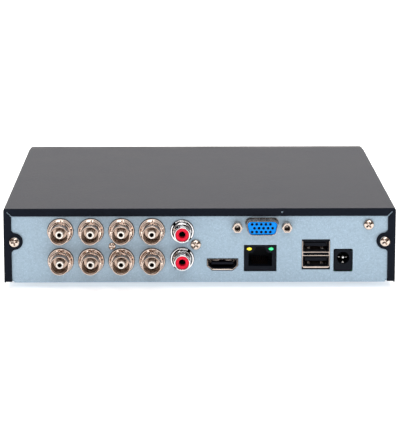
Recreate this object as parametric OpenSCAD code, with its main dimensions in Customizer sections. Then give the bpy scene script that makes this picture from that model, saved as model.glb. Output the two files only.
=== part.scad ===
// Compact eight-channel video recorder.
// Millimetres. X runs to the right as seen from behind, Y runs from the rear panel to the front bezel,
// Z is up. The origin is under the middle of the recorder, on the surface that its feet stand on.

/* [Case] */
// Width over the cover
case_w = 198; // [190:1:260]
// Depth from the rear panel's outer face to the front of the bezel
case_d = 191; // [188:1:260]
// Height from the tray's underside to the top of the cover
case_h = 38.5; // [38:0.5:60]
// Thickness of the steel sheet
sheet = 0.8; // [0.6:0.05:1.1]
// Outside radius of the folds in the sheet
fold_r = 1.2; // [1.15:0.05:2]
// Gap between the cover and the tray that it slides over
cover_gap = 0.3; // [0.2:0.05:0.5]
// Gap between the cover's rear flanges and the rear panel
flange_gap = 0.15; // [0.1:0.05:0.3]
// Height of the cover's lower edge above the tray's underside
cover_lift = 0.4; // [0.2:0.1:1]
// Width of the cover's rear flanges
flange_w = 4; // [3:0.1:4.2]
// Width of the open mitre between two rear flanges
mitre_w = 0.7; // [0.4:0.1:1]
// Height of the tray's side walls
tray_wall_h = 12; // [8:1:20]
// Gap between the tray's front wall and its top
front_wall_drop = 2; // [1:0.5:6]

/* [Front] */
// Depth of the plastic bezel
bezel_d = 8; // [7:0.5:12]
// Wall of the plastic bezel
bezel_wall = 1.8; // [1.5:0.1:2.4]
// Radius of the bezel's corners, seen from the front
bezel_r = 2; // [1:0.25:4]
// Width of the indicator window
window_w = 34; // [30:1:44]
// Height of the indicator window
window_h = 7; // [6:0.5:10]
// Number of indicator lights
light_count = 3; // [1:1:5]
// Distance between indicator lights
light_pitch = 9; // [5:0.5:10]

/* [Feet] */
// Height of the rubber feet
foot_h = 3; // [2.5:0.5:8]
// Diameter of the rubber feet
foot_dia = 14; // [10:1:18]
// Distance from the sides of the case to the feet
foot_inset_x = 19; // [14:1:30]
// Distance from the front and rear of the case to the feet
foot_inset_y = 24; // [18:1:40]

/* [Screws] */
// Shank diameter of the case and board screws
screw_dia = 2.9; // [2.5:0.1:3.4]
// Head diameter of the case and board screws
head_dia = 5.5; // [5:0.1:6]
// Head height of the case and board screws
head_h = 2; // [1.6:0.1:2.4]
// Shank length of the cover and ground screws
screw_len = 6; // [5:0.5:8]
// Clearance between a screw and its hole, on the diameter
screw_clearance = 0.2; // [0.1:0.05:0.4]
// Radius of the cover's screw ears
ear_r = 4.2; // [3.6:0.1:5]
// Height of the cover screws above the tray's underside
ear_z = 21.6; // [15:0.1:26]
// Distance from the sides of the case to the cover screws
ear_inset = 5.5; // [5:0.1:7]
// Radius of the fillets beside the screw ears
ear_fillet = 2; // [1:0.25:3]

/* [Main board] */
// Thickness of the circuit boards
board_t = 1.6; // [1:0.1:2]
// Depth of the main board
board_d = 74; // [70:1:74]
// Height of the standoffs under the main board
standoff_h = 3.6; // [3:0.1:5]
// Diameter of the standoffs
standoff_dia = 6; // [5:0.5:7]

/* [Video inputs] */
// Columns of BNC jacks
bnc_columns = 4; // [1:1:4]
// Rows of BNC jacks
bnc_rows = 2; // [1:1:2]
// Distance between BNC jacks
bnc_pitch = 15.4; // [14:0.1:15.6]
// Middle of the BNC group, measured from the middle of the case
bnc_mid_x = -47.25; // [-49:0.25:-46]
// Height of the lower row above the board
bnc_low = 5.4; // [5:0.1:6]
// Diameter of the collar at the root of a BNC shell
bnc_collar_dia = 13.1; // [11.6:0.1:13.6]
// Diameter of the BNC barrel
bnc_barrel_dia = 9.6; // [9.5:0.05:9.7]
// Bore of the BNC barrel
bnc_bore_dia = 8.15; // [8:0.05:8.3]
// Reach of the BNC barrels beyond the rear panel
bnc_reach = 12; // [11:0.5:14]

/* [Audio jacks] */
// Middle of the phono jacks, measured from the middle of the case
rca_x = -8.9; // [-9:0.1:-8.5]
// Height of the lower phono jack above the board
rca_low = 6.4; // [6.2:0.1:7]
// Distance between the phono jacks
rca_pitch = 14.3; // [13:0.1:14.4]
// Diameter of the slotted collar
rca_collar_dia = 11.8; // [11:0.1:12.2]
// Diameter of the phono barrel
rca_barrel_dia = 8.3; // [8.2:0.05:8.5]
// Diameter of the red insulator
rca_insulator_dia = 6.3; // [6:0.1:6.6]
// Reach of the phono barrels beyond the rear panel
rca_reach = 10; // [8:0.5:10.5]

/* [Sockets] */
// Middle of the HDMI socket, measured from the middle of the case
hdmi_x = 11.5; // [11:0.1:12]
// Middle of the network socket
rj45_x = 30.6; // [30:0.1:31]
// Middle of the VGA socket
vga_x = 31.4; // [30:0.1:32]
// Height of the VGA socket above the board
vga_up = 23.2; // [22.5:0.1:23.4]
// Middle of the USB stack
usb_x = 58.8; // [58:0.1:59]
// Middle of the DC jack
dc_x = 72.6; // [72:0.1:73.5]
// Clearance round a socket in the rear panel
cutout_gap = 0.4; // [0.2:0.05:0.5]

/* [Hard disk] */
// Length of the hard disk
disk_l = 147; // [147:0.1:147.2]
// Width of the hard disk
disk_w = 101.6; // [101.4:0.1:101.8]
// Height of the hard disk
disk_h = 26.1; // [19.5:0.1:26.1]
// Height of the tray's bosses under the disk
boss_h = 2.5; // [2:0.25:4]
// Gap between the disk and the tray's side and front walls
disk_gap = 1.5; // [1:0.25:3]

/* [Hidden] */
$fn = 48;
through = 1;          // extra length of a cut past the face that it opens
snug = 0.05;          // gap between pieces that are held in each other

// Planes of the case
tray_z = foot_h;
floor_z = tray_z + sheet;
top_z = tray_z + case_h;
overall_d = case_d + bnc_reach;
panel_y = bnc_reach - overall_d / 2;
front_y = overall_d / 2;
bezel_y = front_y - bezel_d;
front_wall_y = bezel_y - sheet;
tray_w = case_w - 2 * (sheet + cover_gap);
inner_w = tray_w - 2 * sheet;
panel_top = top_z - sheet - cover_gap;
fold_inner_r = fold_r - sheet;
corner_relief = 3.8;

// Main board
board_z = floor_z + standoff_h;
board_top = board_z + board_t;
board_w = inner_w - 8;
board_y = panel_y + sheet + 0.7;
board_front = board_y + board_d;
board_screw_x = board_w / 2 - 5;
board_screw_ys = [board_y + 6, board_y + board_d / 2, board_front - 16];
board_screw_len = 4.4;

// Connector screws and the ground screw, measured from the middle of the case
rca_screw_x = rca_x + 6.9;
rca_screw_up = rca_low + rca_pitch / 2 + 0.3;
bnc_screw_x = bnc_mid_x + 2.95;
bnc_screw_up = bnc_low + bnc_pitch / 2;
bnc_screw_dia = 1.9;
bnc_head_dia = 3.8;
connector_screw_len = 7;
ground_x = case_w / 2 - 13.7;
ground_z = 30;

// Sizes of the sockets: width, height, depth behind the panel's outer face
block_front = -sheet - 0.4;
bnc_block_d = 14;
bnc_seat_d = 3;
rca_block_d = 12;
rca_seat_d = 2;
hdmi_size = [15.2, 5.6, 11.5];
hdmi_up = 3.4;
hdmi_wall = 0.4;
hdmi_slant = 2.1;
rj45_size = [16.2, 13.3, 21];
rj45_cavity = [11.9, 7.4, 13];
rj45_cavity_up = 2.6;
rj45_latch_w = 5.8;
rj45_contact_pitch = 1.02;
rj45_contact_w = 0.4;
rj45_contact_len = 8;
rj45_contact_back = 4;
rj45_contact_slope = 16;
rj45_light = [3, 2.1, 6];
rj45_light_x = 5.5;
usb_size = [14, 15.2, 17];
usb_up = 0.9;
usb_wall = 0.5;
usb_port = [12.5, 5.1, 12];
usb_port_ups = [2.2, 9.8];
dc_size = [9, 11, 14];
dc_hole_dia = 6.3;
dc_hole_up = 6.7;
dc_pin_dia = 2;
vga_front_w = 16.3;
vga_front_h = 8.0;
vga_reach = 6;
vga_wall = 0.5;
vga_post_pitch = 24.99;
vga_post_af = 4.8;
vga_post_len = 5.4;
vga_post_bore = 2.84;
vga_post_thread = 4.3;
vga_post_pilot_dia = 2.2;
vga_post_pilot = 0.8;
vga_post_shank = 6;
vga_post_shank_dia = 2.8;
vga_riser_size = [30.8, 10.4, 9];
vga_plate_h = 12;

// Hard disk
disk_z = floor_z + boss_h;
disk_x = -inner_w / 2 + disk_gap;
disk_end = disk_x + disk_l;
disk_y = front_wall_y - disk_gap - disk_w;
disk_mid_y = disk_y + disk_w / 2;
disk_lid_t = 1.6;
disk_floor_t = 11;
disk_hole_xs = [disk_end - 41.28, disk_end - 117.48];
disk_hole_ys = [disk_mid_y - 47.625, disk_mid_y + 47.625];
disk_screw_dia = 3.4;
disk_head_dia = 6.6;
disk_head_h = 1.6;
disk_screw_grip = 4;
disk_pocket = [64, 80, 3];
boss_dia = 9;
spindle = [disk_x + 50.8, disk_mid_y];
platter_dia = 95;
platter_room = 2;
platter_t = 1.27;
hub_dia = 26;
arm_pivot = spindle + [54, -12];
arm_len = 48;
arm_rest_angle = 111.5;
coil_len = 26;
blade_t = 0.9;
platter_gap = 2.6;
platter_rise = 2.6;
platter_zs = [for (i = [0, 1]) disk_z + disk_floor_t + platter_rise + i * (platter_t + platter_gap)];
blade_off = (platter_gap - blade_t) / 2;
blade_zs = [platter_zs[0] - blade_off - blade_t, platter_zs[0] + platter_t + blade_off,
            platter_zs[1] + platter_t + blade_off];

// Cable ends: plugs on the disk and on the main board
plug_len = 11;
data_plug = [10, 4.4];
power_plug = [21, 5];
disk_plug_z = disk_z + 4.8;
board_plug_z = board_top + 3.4;
data_y = disk_mid_y + 6;
power_y = disk_mid_y - 20;
power_header_x = disk_end + 12;
data_header_x = power_header_x + 14;
flat_header_x = data_header_x + 12;
header_d = 7;
data_cable_dia = 4;
wire_dia = 1.5;
wire_count = 4;
wire_pitch = 2.4;
// Case openings and the bezel's hooks
vent_half = 6;
floor_vent_pitch = 8;
floor_vent_l = 26;
floor_vent_w = 3;
side_vent_count = 14;
side_vent_pitch = 6;
side_vent_l = 14;
side_vent_w = 2.4;
side_vent_z = 24;
peep_x = 41.5;
peep_dia = 1.1;
hook_w = 6;
hook_t = 1.4;
hook_len = sheet + disk_gap - 0.3;
hook_lip = 0.9;
hook_play = 0.2;

// Indicator board and its flat cable
indicator_board_y = front_wall_y + sheet - 1;
indicator_board_h = 10;
indicator_board_w = window_w + 12;
indicator_post_dia = 4;
flat_cable_h = 6;
flat_cable_t = 0.5;

// BNC jacks, outwards from the rear panel
bnc_neck_dia = 10;
bnc_shoulder = 0.45;
bnc_collar_out = 1.5;
bnc_shoulder_out = 3.8;
bnc_lug_back = 4.6;
bnc_lug_dia = 2;
bnc_lug_span = 11;
bnc_bore_depth = 9.5;
bnc_post_dia = 4;
bnc_face_out = bnc_reach - bnc_bore_depth;
bnc_contact_dia = 2.2;
bnc_contact_bore = 1.4;

// Phono jacks and their block
rca_block_left = 7;
rca_block_right = rca_screw_x - rca_x + 3.2;
rca_collar_out = 1.4;
rca_slot_w = 1.3;
rca_step = 0.5;
rca_hole_dia = 3.4;

// VGA pin field
vga_pin_pitch = 2.29;
vga_row_pitch = 1.98;
vga_pin_dia = 1.05;
vga_insert_gap = 0.15;

// Parts on the main board
soc = [-6, board_y + 46];
soc_size = [21, 21, 1.8];
sink_size = [36, 36, 11];
sink_base = 2.5;
fin_count = 9;
fin_t = 1.2;
cell_spot = [-board_w / 2 + 22, board_y + 56];

// ---------- helpers ----------

// Puts a connector on the rear panel. Its own Z points out of the panel, its Y points up, and its
// origin is on the panel's outer face, up above the main board.
module on_panel(x, up) {
    translate([x, panel_y, board_top + up]) rotate([90, 0, 0]) children();
}

// A block on the main board, with its middle at x, y.
module on_board(x, y) {
    translate([x, y, board_top]) children();
}

module box_mid(size) {
    translate([-size[0] / 2, -size[1] / 2, 0]) cube(size);
}

// Corner points of a rectangle with round corners, its middle at the origin.
function round_rect(w, h, r, steps = 6) = [
    for (corner = [[1, 1, 0], [-1, 1, 90], [-1, -1, 180], [1, -1, 270]])
        for (i = [0:steps])
            [corner[0] * (w / 2 - r) + r * cos(corner[2] + 90 * i / steps),
             corner[1] * (h / 2 - r) + r * sin(corner[2] + 90 * i / steps)]
];

// Outline of a D-shaped socket, wide at the top, with sides that lean in by ten degrees.
function d_outline(w, h, r, steps = 6) = let (lean = h * tan(10)) [
    for (corner = [[1, 1, 0, w / 2], [-1, 1, 90, w / 2], [-1, -1, 180, w / 2 - lean],
                   [1, -1, 270, w / 2 - lean]])
        for (i = [0:steps])
            [corner[0] * (corner[3] - r) + r * cos(corner[2] + 90 * i / steps),
             corner[1] * (h / 2 - r) + r * sin(corner[2] + 90 * i / steps)]
];

// Outline of an HDMI socket, with its lower corners cut away.
function hdmi_outline(w, h, grow = 0) = let (half = w / 2 + grow, low = w / 2 - 2.5 + grow * 0.4) [
    [-half, h / 2 + grow], [-half, -h / 2 + hdmi_slant], [-low, -h / 2 - grow], [low, -h / 2 - grow],
    [half, -h / 2 + hdmi_slant], [half, h / 2 + grow]
];

// Section of a sheet folded up at both ends: w wide, with walls left_h and right_h high.
function folded_u(w, left_h, right_h, steps = 5) = concat(
    [[-w / 2, left_h]],
    [for (i = [0:steps]) [-w / 2 + fold_r - fold_r * cos(90 * i / steps),
                          fold_r - fold_r * sin(90 * i / steps)]],
    [for (i = [0:steps]) [w / 2 - fold_r + fold_r * sin(90 * i / steps),
                          fold_r - fold_r * cos(90 * i / steps)]],
    [[w / 2, right_h], [w / 2 - sheet, right_h]],
    [for (i = [0:steps]) [w / 2 - fold_r + fold_inner_r * cos(90 * i / steps),
                          fold_r - fold_inner_r * sin(90 * i / steps)]],
    [for (i = [0:steps]) [-w / 2 + fold_r - fold_inner_r * sin(90 * i / steps),
                          fold_r - fold_inner_r * cos(90 * i / steps)]],
    [[-w / 2 + sheet, left_h]]
);

// Outline of the cover's rear flanges, folded inwards: w wide, h high, and open below. Its outer edge
// lies in the middle of the sheet.
function rim_outline(w, h, low, steps = 5) = let (half = w / 2, r = fold_r - sheet / 2) concat(
    [[-half + sheet / 2, low]],
    [for (i = [0:steps]) [-half + fold_r - r * cos(90 * i / steps), h - fold_r + r * sin(90 * i / steps)]],
    [for (i = [0:steps]) [half - fold_r + r * sin(90 * i / steps), h - fold_r + r * cos(90 * i / steps)]],
    [[half - sheet / 2, low], [half - flange_w, low], [half - flange_w, h - flange_w],
     [-half + flange_w, h - flange_w], [-half + flange_w, low]]
);

// A slot with round ends, cut through a wall: long and wide in the XY plane, depth along Z.
module slot_cut(length, width, depth) {
    translate([-length / 2 + width / 2, -width / 2, 0]) cube([length - width, width, depth]);
    for (side = [-1, 1])
        translate([side * (length - width) / 2, 0, 0]) cylinder(d = width, h = depth);
}

// Pan-head screw. Its head stands on Z = 0 and its shank points down.
module pan_screw(dia, length, top_dia, top_h) {
    recess = top_dia * 0.58;
    blade = top_dia * 0.15;
    difference() {
        union() {
            rotate_extrude()
                polygon(concat([[0, 0]], [for (a = [0:15:75])
                    [top_dia / 2 * cos(a) ^ 0.45, top_h * (0.35 + 0.65 * sin(a))]], [[0, top_h]],
                    [[0, 0]]));
            rotate_extrude() polygon([[0, 0], [top_dia / 2, 0], [top_dia / 2, top_h * 0.35],
                                      [0, top_h * 0.35]]);
            translate([0, 0, -length]) cylinder(d = dia, h = length + snug);
        }
        for (turn = [0, 90])
            rotate([0, 0, turn]) translate([-recess / 2, -blade / 2, top_h * 0.45])
                cube([recess, blade, top_h]);
    }
}

function curve_point(a, b, c, d, t) =
    a * (1 - t) ^ 3 + 3 * b * t * (1 - t) ^ 2 + 3 * c * t ^ 2 * (1 - t) + d * t ^ 3;
function curve_points(a, b, c, d, steps) = [for (i = [0:steps]) curve_point(a, b, c, d, i / steps)];
function unit(v) = v / norm(v);
function heading(path, i) = unit(path[min(i + 1, len(path) - 1)] - path[max(i - 1, 0)]);

// A round wire along a path that never points straight up.
module wire(path, dia, sides = 8) {
    last = len(path) - 1;
    points = [for (i = [0:last])
        let (along = heading(path, i), side = unit(cross(along, [0, 0, 1])), up = cross(side, along))
        for (k = [0:sides - 1])
            path[i] + dia / 2 * (cos(360 * k / sides) * side + sin(360 * k / sides) * up)];
    walls = [for (i = [0:last - 1], k = [0:sides - 1])
        [i * sides + k, i * sides + (k + 1) % sides, (i + 1) * sides + (k + 1) % sides,
         (i + 1) * sides + k]];
    polyhedron(points, concat([[for (k = [0:sides - 1]) sides - 1 - k]], walls,
                              [[for (k = [0:sides - 1]) last * sides + k]]));
}

// ---------- case ----------

module base_tray() {
    length = front_wall_y + sheet - panel_y;
    panel_half = tray_w / 2;
    low_half = tray_w / 2 - corner_relief;
    color("#b4cada") difference() {
        union() {
            // rear panel, floor and front wall, folded from one strip
            translate([-low_half, panel_y + length / 2, tray_z]) rotate([90, 0, 90])
                linear_extrude(2 * low_half)
                    polygon(folded_u(length, panel_top - tray_z, panel_top - front_wall_drop - tray_z));
            // full width of the rear panel, with its lower corners cut off
            translate([0, panel_y + sheet, tray_z]) rotate([90, 0, 0]) linear_extrude(sheet)
                polygon([[-low_half, fold_r], [-panel_half, fold_r + corner_relief],
                         [-panel_half, panel_top - tray_z], [panel_half, panel_top - tray_z],
                         [panel_half, fold_r + corner_relief], [low_half, fold_r]]);
            // floor and side walls
            translate([0, front_wall_y - corner_relief, tray_z]) rotate([90, 0, 0])
                linear_extrude(front_wall_y - panel_y - 2 * corner_relief)
                    polygon(folded_u(tray_w, tray_wall_h, tray_wall_h));
            for (x = disk_hole_xs, y = disk_hole_ys)
                translate([x, y, floor_z - snug]) cylinder(d = boss_dia, h = boss_h + snug);
        }
        panel_cutouts();
        front_wall_cutouts();
        tray_floor_holes();
    }
}

module panel_cut(x, up) {
    on_panel(x, up) translate([0, 0, -sheet - through]) linear_extrude(sheet + 2 * through) children();
}

module panel_cutouts() {
    for (column = [0:bnc_columns - 1], row = [0:bnc_rows - 1])
        panel_cut(bnc_x(column), bnc_up(row)) circle(d = bnc_collar_dia + cutout_gap);
    for (row = [0, 1])
        panel_cut(rca_x, rca_low + row * rca_pitch) circle(d = rca_collar_dia + cutout_gap);
    panel_cut(hdmi_x, hdmi_up) polygon(hdmi_outline(hdmi_size[0], hdmi_size[1], cutout_gap));
    panel_cut(rj45_x, rj45_size[1] / 2)
        square([rj45_size[0] + cutout_gap, rj45_size[1] + cutout_gap], center = true);
    panel_cut(usb_x, usb_up + usb_size[1] / 2)
        square([usb_size[0] + cutout_gap, usb_size[1] + cutout_gap], center = true);
    panel_cut(dc_x, dc_size[1] / 2)
        polygon(round_rect(dc_size[0] + 2 * cutout_gap, dc_size[1] + 2 * cutout_gap, 0.8));
    panel_cut(vga_x, vga_up)
        polygon(d_outline(vga_front_w + 2 * cutout_gap, vga_front_h + 2 * cutout_gap, 2.6));
    for (side = [-1, 1])
        panel_cut(vga_x + side * vga_post_pitch / 2, vga_up) circle(d = 3.2);
    panel_cut(rca_screw_x, rca_screw_up) circle(d = screw_dia + screw_clearance);
    panel_cut(bnc_screw_x, bnc_screw_up) circle(d = bnc_screw_dia + screw_clearance);
    for (screw = [[ground_x, ground_z], [case_w / 2 - ear_inset, ear_z], [ear_inset - case_w / 2, ear_z]])
        translate([screw[0], panel_y - through, tray_z + screw[1]]) rotate([-90, 0, 0])
            cylinder(d = screw_dia + screw_clearance, h = sheet + 2 * through);
}

module front_wall_cutouts() {
    translate([window_x() - indicator_board_w / 2 - 1, front_wall_y - through,
               window_z() - indicator_board_h / 2 - 1])
        cube([indicator_board_w + 2, sheet + 2 * through, indicator_board_h + 2]);
    for (x = hook_xs(), z = hook_zs())
        translate([x - hook_w / 2 - cutout_gap, front_wall_y - through, z - hook_t / 2 - 1])
            cube([hook_w + 2 * cutout_gap, sheet + 2 * through, hook_t + 2]);
}

module tray_floor_holes() {
    hole_h = boss_h + sheet + 2 * through;
    for (x = disk_hole_xs, y = disk_hole_ys)
        translate([x, y, tray_z - through]) cylinder(d = disk_screw_dia + screw_clearance, h = hole_h);
    for (i = [-vent_half:vent_half])
        translate([i * floor_vent_pitch, board_y + board_d / 2, tray_z - through]) rotate([0, 0, 90])
            slot_cut(floor_vent_l, floor_vent_w, sheet + 2 * through);
}

// The cover: top and sides, rear flanges with open mitres, and two screw ears.
module top_cover() {
    cover_front = bezel_y - 0.2;
    flange_y = panel_y - flange_gap - sheet;
    side_h = case_h - cover_lift;
    color("#22242a") difference() {
        union() {
            translate([0, cover_front, top_z]) rotate([90, 0, 0]) mirror([0, 1, 0])
                linear_extrude(cover_front - flange_y) polygon(folded_u(case_w, side_h, side_h));
            translate([0, flange_y + sheet, top_z - side_h]) rotate([90, 0, 0]) linear_extrude(sheet)
                polygon(rim_outline(case_w, side_h, cover_lift));
            for (side = [-1, 1]) mirror([side < 0 ? 1 : 0, 0, 0])
                translate([0, flange_y, 0]) cover_ear();
        }
        for (side = [-1, 1]) mirror([side < 0 ? 1 : 0, 0, 0]) {
            translate([case_w / 2 - flange_w, flange_y + sheet / 2, top_z - flange_w])
                rotate([0, -45, 0])
                    translate([-1, -sheet, -mitre_w / 2]) cube([flange_w * 0.8 + 1, 2 * sheet, mitre_w]);
            translate([case_w / 2 - ear_inset, flange_y - through, tray_z + ear_z]) rotate([-90, 0, 0])
                cylinder(d = screw_dia + screw_clearance, h = sheet + 2 * through);
            for (i = [0:side_vent_count - 1])
                translate([case_w / 2 - sheet - through, side_vent_y(i), tray_z + side_vent_z])
                    rotate([0, 90, 0]) slot_cut(side_vent_l, side_vent_w, sheet + 2 * through);
        }
        translate([peep_x, flange_y - through, top_z - flange_w / 2]) rotate([-90, 0, 0])
            cylinder(d = peep_dia, h = sheet + 2 * through);
    }
}

function side_vent_y(i) = (bezel_y + panel_y) / 2 + (i - (side_vent_count - 1) / 2) * side_vent_pitch;

// Outline of a screw ear round its screw, with fillets where it meets the flange, which starts edge away.
function ear_outline(edge, lap, steps = 8) = let (
        rise = sqrt((ear_r + ear_fillet) ^ 2 - (edge - ear_fillet) ^ 2),
        meet = atan2(rise, edge - ear_fillet)) concat(
    [[edge + lap, rise]],
    [for (i = [0:steps]) let (a = (meet - 180) * i / steps)
        [edge - ear_fillet + ear_fillet * cos(a), rise + ear_fillet * sin(a)]],
    [for (i = [1:2 * steps - 1]) let (a = meet + (360 - 2 * meet) * i / (2 * steps))
        [ear_r * cos(a), ear_r * sin(a)]],
    [for (i = [steps:-1:0]) let (a = (meet - 180) * i / steps)
        [edge - ear_fillet + ear_fillet * cos(a), -rise - ear_fillet * sin(a)]],
    [[edge + lap, -rise]]
);

module cover_ear() {
    translate([case_w / 2 - ear_inset, sheet, tray_z + ear_z]) rotate([90, 0, 0]) linear_extrude(sheet)
        polygon(ear_outline(ear_inset - flange_w, flange_w / 2));
}

// ---------- front ----------

function hook_xs() = [-case_w / 2 + 26, 0, case_w / 2 - 26];
function hook_zs() = [tray_z + 5, panel_top - front_wall_drop - 4];
function window_x() = case_w / 2 - 32;
function window_z() = tray_z + case_h / 2;

module front_bezel() {
    mid_z = tray_z + case_h / 2;
    color("#18191c") difference() {
        union() {
            translate([0, front_y, mid_z]) rotate([90, 0, 0]) difference() {
                linear_extrude(bezel_d) polygon(round_rect(case_w, case_h, bezel_r));
                translate([0, 0, bezel_wall])
                    linear_extrude(bezel_d)
                        polygon(round_rect(case_w - 2 * bezel_wall, case_h - 2 * bezel_wall,
                                           max(bezel_r - bezel_wall, 0.2)));
            }
            for (x = hook_xs(), z = hook_zs()) bezel_hook(x, z);
            for (x = indicator_post_xs())
                translate([x, indicator_board_y + board_t, window_z()]) rotate([-90, 0, 0])
                    cylinder(d = indicator_post_dia,
                             h = front_y - bezel_wall - indicator_board_y - board_t + snug);
        }
        translate([window_x() - window_w / 2, bezel_y, window_z() - window_h / 2])
            cube([window_w, bezel_d + through, window_h]);
    }
}

// A snap hook that reaches from the bezel's face through the tray's front wall.
module bezel_hook(x, z) {
    reach = bezel_d - bezel_wall + hook_len;
    translate([x - hook_w / 2, front_y - bezel_wall - reach, z - hook_t / 2])
        cube([hook_w, reach + snug, hook_t]);
    translate([x - hook_w / 2, front_y - bezel_wall - reach, z - hook_t / 2 - hook_lip + snug])
        cube([hook_w, hook_len - sheet - hook_play, hook_lip]);
}

module indicator_window() {
    color("#0b0c0f")
        translate([window_x() - window_w / 2 + snug, front_y - bezel_wall, window_z() - window_h / 2 + snug])
            cube([window_w - 2 * snug, bezel_wall - 0.2, window_h - 2 * snug]);
}

function indicator_post_xs() = [for (side = [-1, 1]) window_x() + side * (indicator_board_w / 2 - 3)];

module indicator_board() {
    color("#1d6b3a")
        translate([window_x() - indicator_board_w / 2, indicator_board_y,
                   window_z() - indicator_board_h / 2])
            cube([indicator_board_w, board_t, indicator_board_h]);
}

module indicator_lights() {
    reach = front_y - bezel_wall - snug - indicator_board_y - board_t;
    color("#cfe8ff") for (i = [0:light_count - 1])
        translate([window_x() + (i - (light_count - 1) / 2) * light_pitch, indicator_board_y + board_t,
                   window_z()])
            rotate([-90, 0, 0]) {
                cylinder(d = 3, h = reach - 1.5);
                translate([0, 0, reach - 1.5]) cylinder(d1 = 3, d2 = 2, h = 1.5);
            }
}

// Flat cable from the indicator board, along the right-hand wall, to its header on the main board.
module indicator_cable() {
    run_x = inner_w / 2 - 2.5;
    start = [window_x() + window_w / 2 - 5, indicator_board_y - snug];
    entry = [flat_header_x, board_front + snug];
    middle = (start[1] + entry[1]) / 2;
    path = concat(
        curve_points(start, start - [0, 9], [run_x, start[1] - 6], [run_x, middle + 10], 10),
        curve_points([run_x, middle], [run_x, entry[1] + 22], entry + [0, 14], entry, 10));
    half = flat_cable_t / 2;
    sides = [for (i = [0:len(path) - 1]) let (h = heading(path, i)) [h[1], -h[0]] * half];
    edge = [for (i = [0:len(path) - 1]) path[i] + sides[i]];
    back = [for (i = [len(path) - 1:-1:0]) path[i] - sides[i]];
    color("#e8e8e4") translate([0, 0, board_top + 0.5]) linear_extrude(flat_cable_h)
        polygon(concat(edge, back));
}

// ---------- feet and screws ----------

module rubber_feet() {
    color("#111214") for (x = [-1, 1], y = [panel_y + foot_inset_y, front_y - foot_inset_y])
        translate([x * (case_w / 2 - foot_inset_x), y, 0])
            cylinder(d1 = foot_dia - 1.5, d2 = foot_dia, h = foot_h);
}

module cover_screw(side) {
    color("#d8d2cc")
        translate([side * (case_w / 2 - ear_inset), panel_y - flange_gap - sheet, tray_z + ear_z])
            rotate([90, side * 12 + 20, 0]) pan_screw(screw_dia, screw_len, head_dia, head_h);
}

module ground_screw() {
    color("#d8d2cc") translate([ground_x, panel_y, tray_z + ground_z])
        rotate([90, 40, 0]) pan_screw(screw_dia, screw_len, head_dia, head_h);
}

module connector_screws() {
    color("#d8d2cc") {
        on_panel(rca_screw_x, rca_screw_up) rotate([0, 0, 45])
            pan_screw(screw_dia, connector_screw_len, head_dia, head_h);
        on_panel(bnc_screw_x, bnc_screw_up)
            pan_screw(bnc_screw_dia, connector_screw_len, bnc_head_dia, 1.2);
    }
}

module board_screws() {
    color("#d8d2cc") for (x = [-1, 1], y = board_screw_ys)
        translate([x * board_screw_x, y, board_top])
            pan_screw(screw_dia, board_screw_len, head_dia, head_h);
}

module board_standoffs() {
    color("#c9b489") for (x = [-1, 1], y = board_screw_ys)
        translate([x * board_screw_x, y, floor_z]) difference() {
            cylinder(d = standoff_dia, h = standoff_h);
            cylinder(d = screw_dia + screw_clearance, h = standoff_h + through);
        }
}

module disk_screws() {
    shank = sheet + boss_h + disk_screw_grip;
    color("#d8d2cc") for (x = disk_hole_xs, y = disk_hole_ys)
        translate([x, y, tray_z]) rotate([180, 0, 0])
            pan_screw(disk_screw_dia, shank, disk_head_dia, disk_head_h);
}

// ---------- main board and what stands on it ----------

module main_board() {
    color("#1d6b3a") difference() {
        translate([-board_w / 2, board_y, board_z]) cube([board_w, board_d, board_t]);
        for (x = [-1, 1], y = board_screw_ys)
            translate([x * board_screw_x, y, board_z - through])
                cylinder(d = screw_dia + screw_clearance, h = board_t + 2 * through);
    }
}

function bnc_x(column) = bnc_mid_x + (column - (bnc_columns - 1) / 2) * bnc_pitch;
function bnc_up(row) = bnc_low + row * bnc_pitch;

// Black housing that carries the BNC shells on the main board.
module bnc_block() {
    width = bnc_columns * bnc_pitch - 0.2;
    height = bnc_up(bnc_rows - 1) + bnc_pitch / 2 - 0.6;
    color("#202226") difference() {
        on_panel(bnc_mid_x, 0) translate([-width / 2, 0, block_front - bnc_block_d])
            cube([width, height, bnc_block_d]);
        for (column = [0:bnc_columns - 1], row = [0:bnc_rows - 1])
            on_panel(bnc_x(column), bnc_up(row)) translate([0, 0, block_front - bnc_seat_d])
                cylinder(d = bnc_neck_dia + 2 * snug, h = bnc_seat_d + through);
        on_panel(bnc_screw_x, bnc_screw_up) translate([0, 0, -connector_screw_len - 1])
            cylinder(d = bnc_screw_dia + screw_clearance, h = connector_screw_len + 2);
    }
}

// BNC shells are numbered from the left of the upper row, then the left of the lower row.
module bnc_shell(number) {
    column = (number - 1) % bnc_columns;
    row = bnc_rows - 1 - floor((number - 1) / bnc_columns);
    back = block_front - bnc_seat_d;
    neck = bnc_neck_dia / 2;
    collar = bnc_collar_dia / 2;
    barrel = bnc_barrel_dia / 2;
    shoulder = barrel + bnc_shoulder;
    bore = bnc_bore_dia / 2;
    color("#cdbfb4") on_panel(bnc_x(column), bnc_up(row)) difference() {
        union() {
            rotate_extrude() polygon([
                [0, back], [neck, back], [neck, block_front], [collar, block_front],
                [collar, bnc_collar_out - 0.3], [collar - 0.3, bnc_collar_out],
                [shoulder + 0.3, bnc_collar_out + 0.6], [shoulder, bnc_collar_out + 0.9],
                [shoulder, bnc_shoulder_out - 0.2], [shoulder - 0.2, bnc_shoulder_out],
                [barrel, bnc_shoulder_out],
                [barrel, bnc_reach - 0.3], [barrel - 0.3, bnc_reach], [0, bnc_reach]]);
            translate([-bnc_lug_span / 2, 0, bnc_reach - bnc_lug_back]) rotate([0, 90, 0])
                cylinder(d = bnc_lug_dia, h = bnc_lug_span);
        }
        translate([0, 0, back - through]) cylinder(r = bore, h = bnc_reach - back + 2 * through);
    }
}

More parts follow.
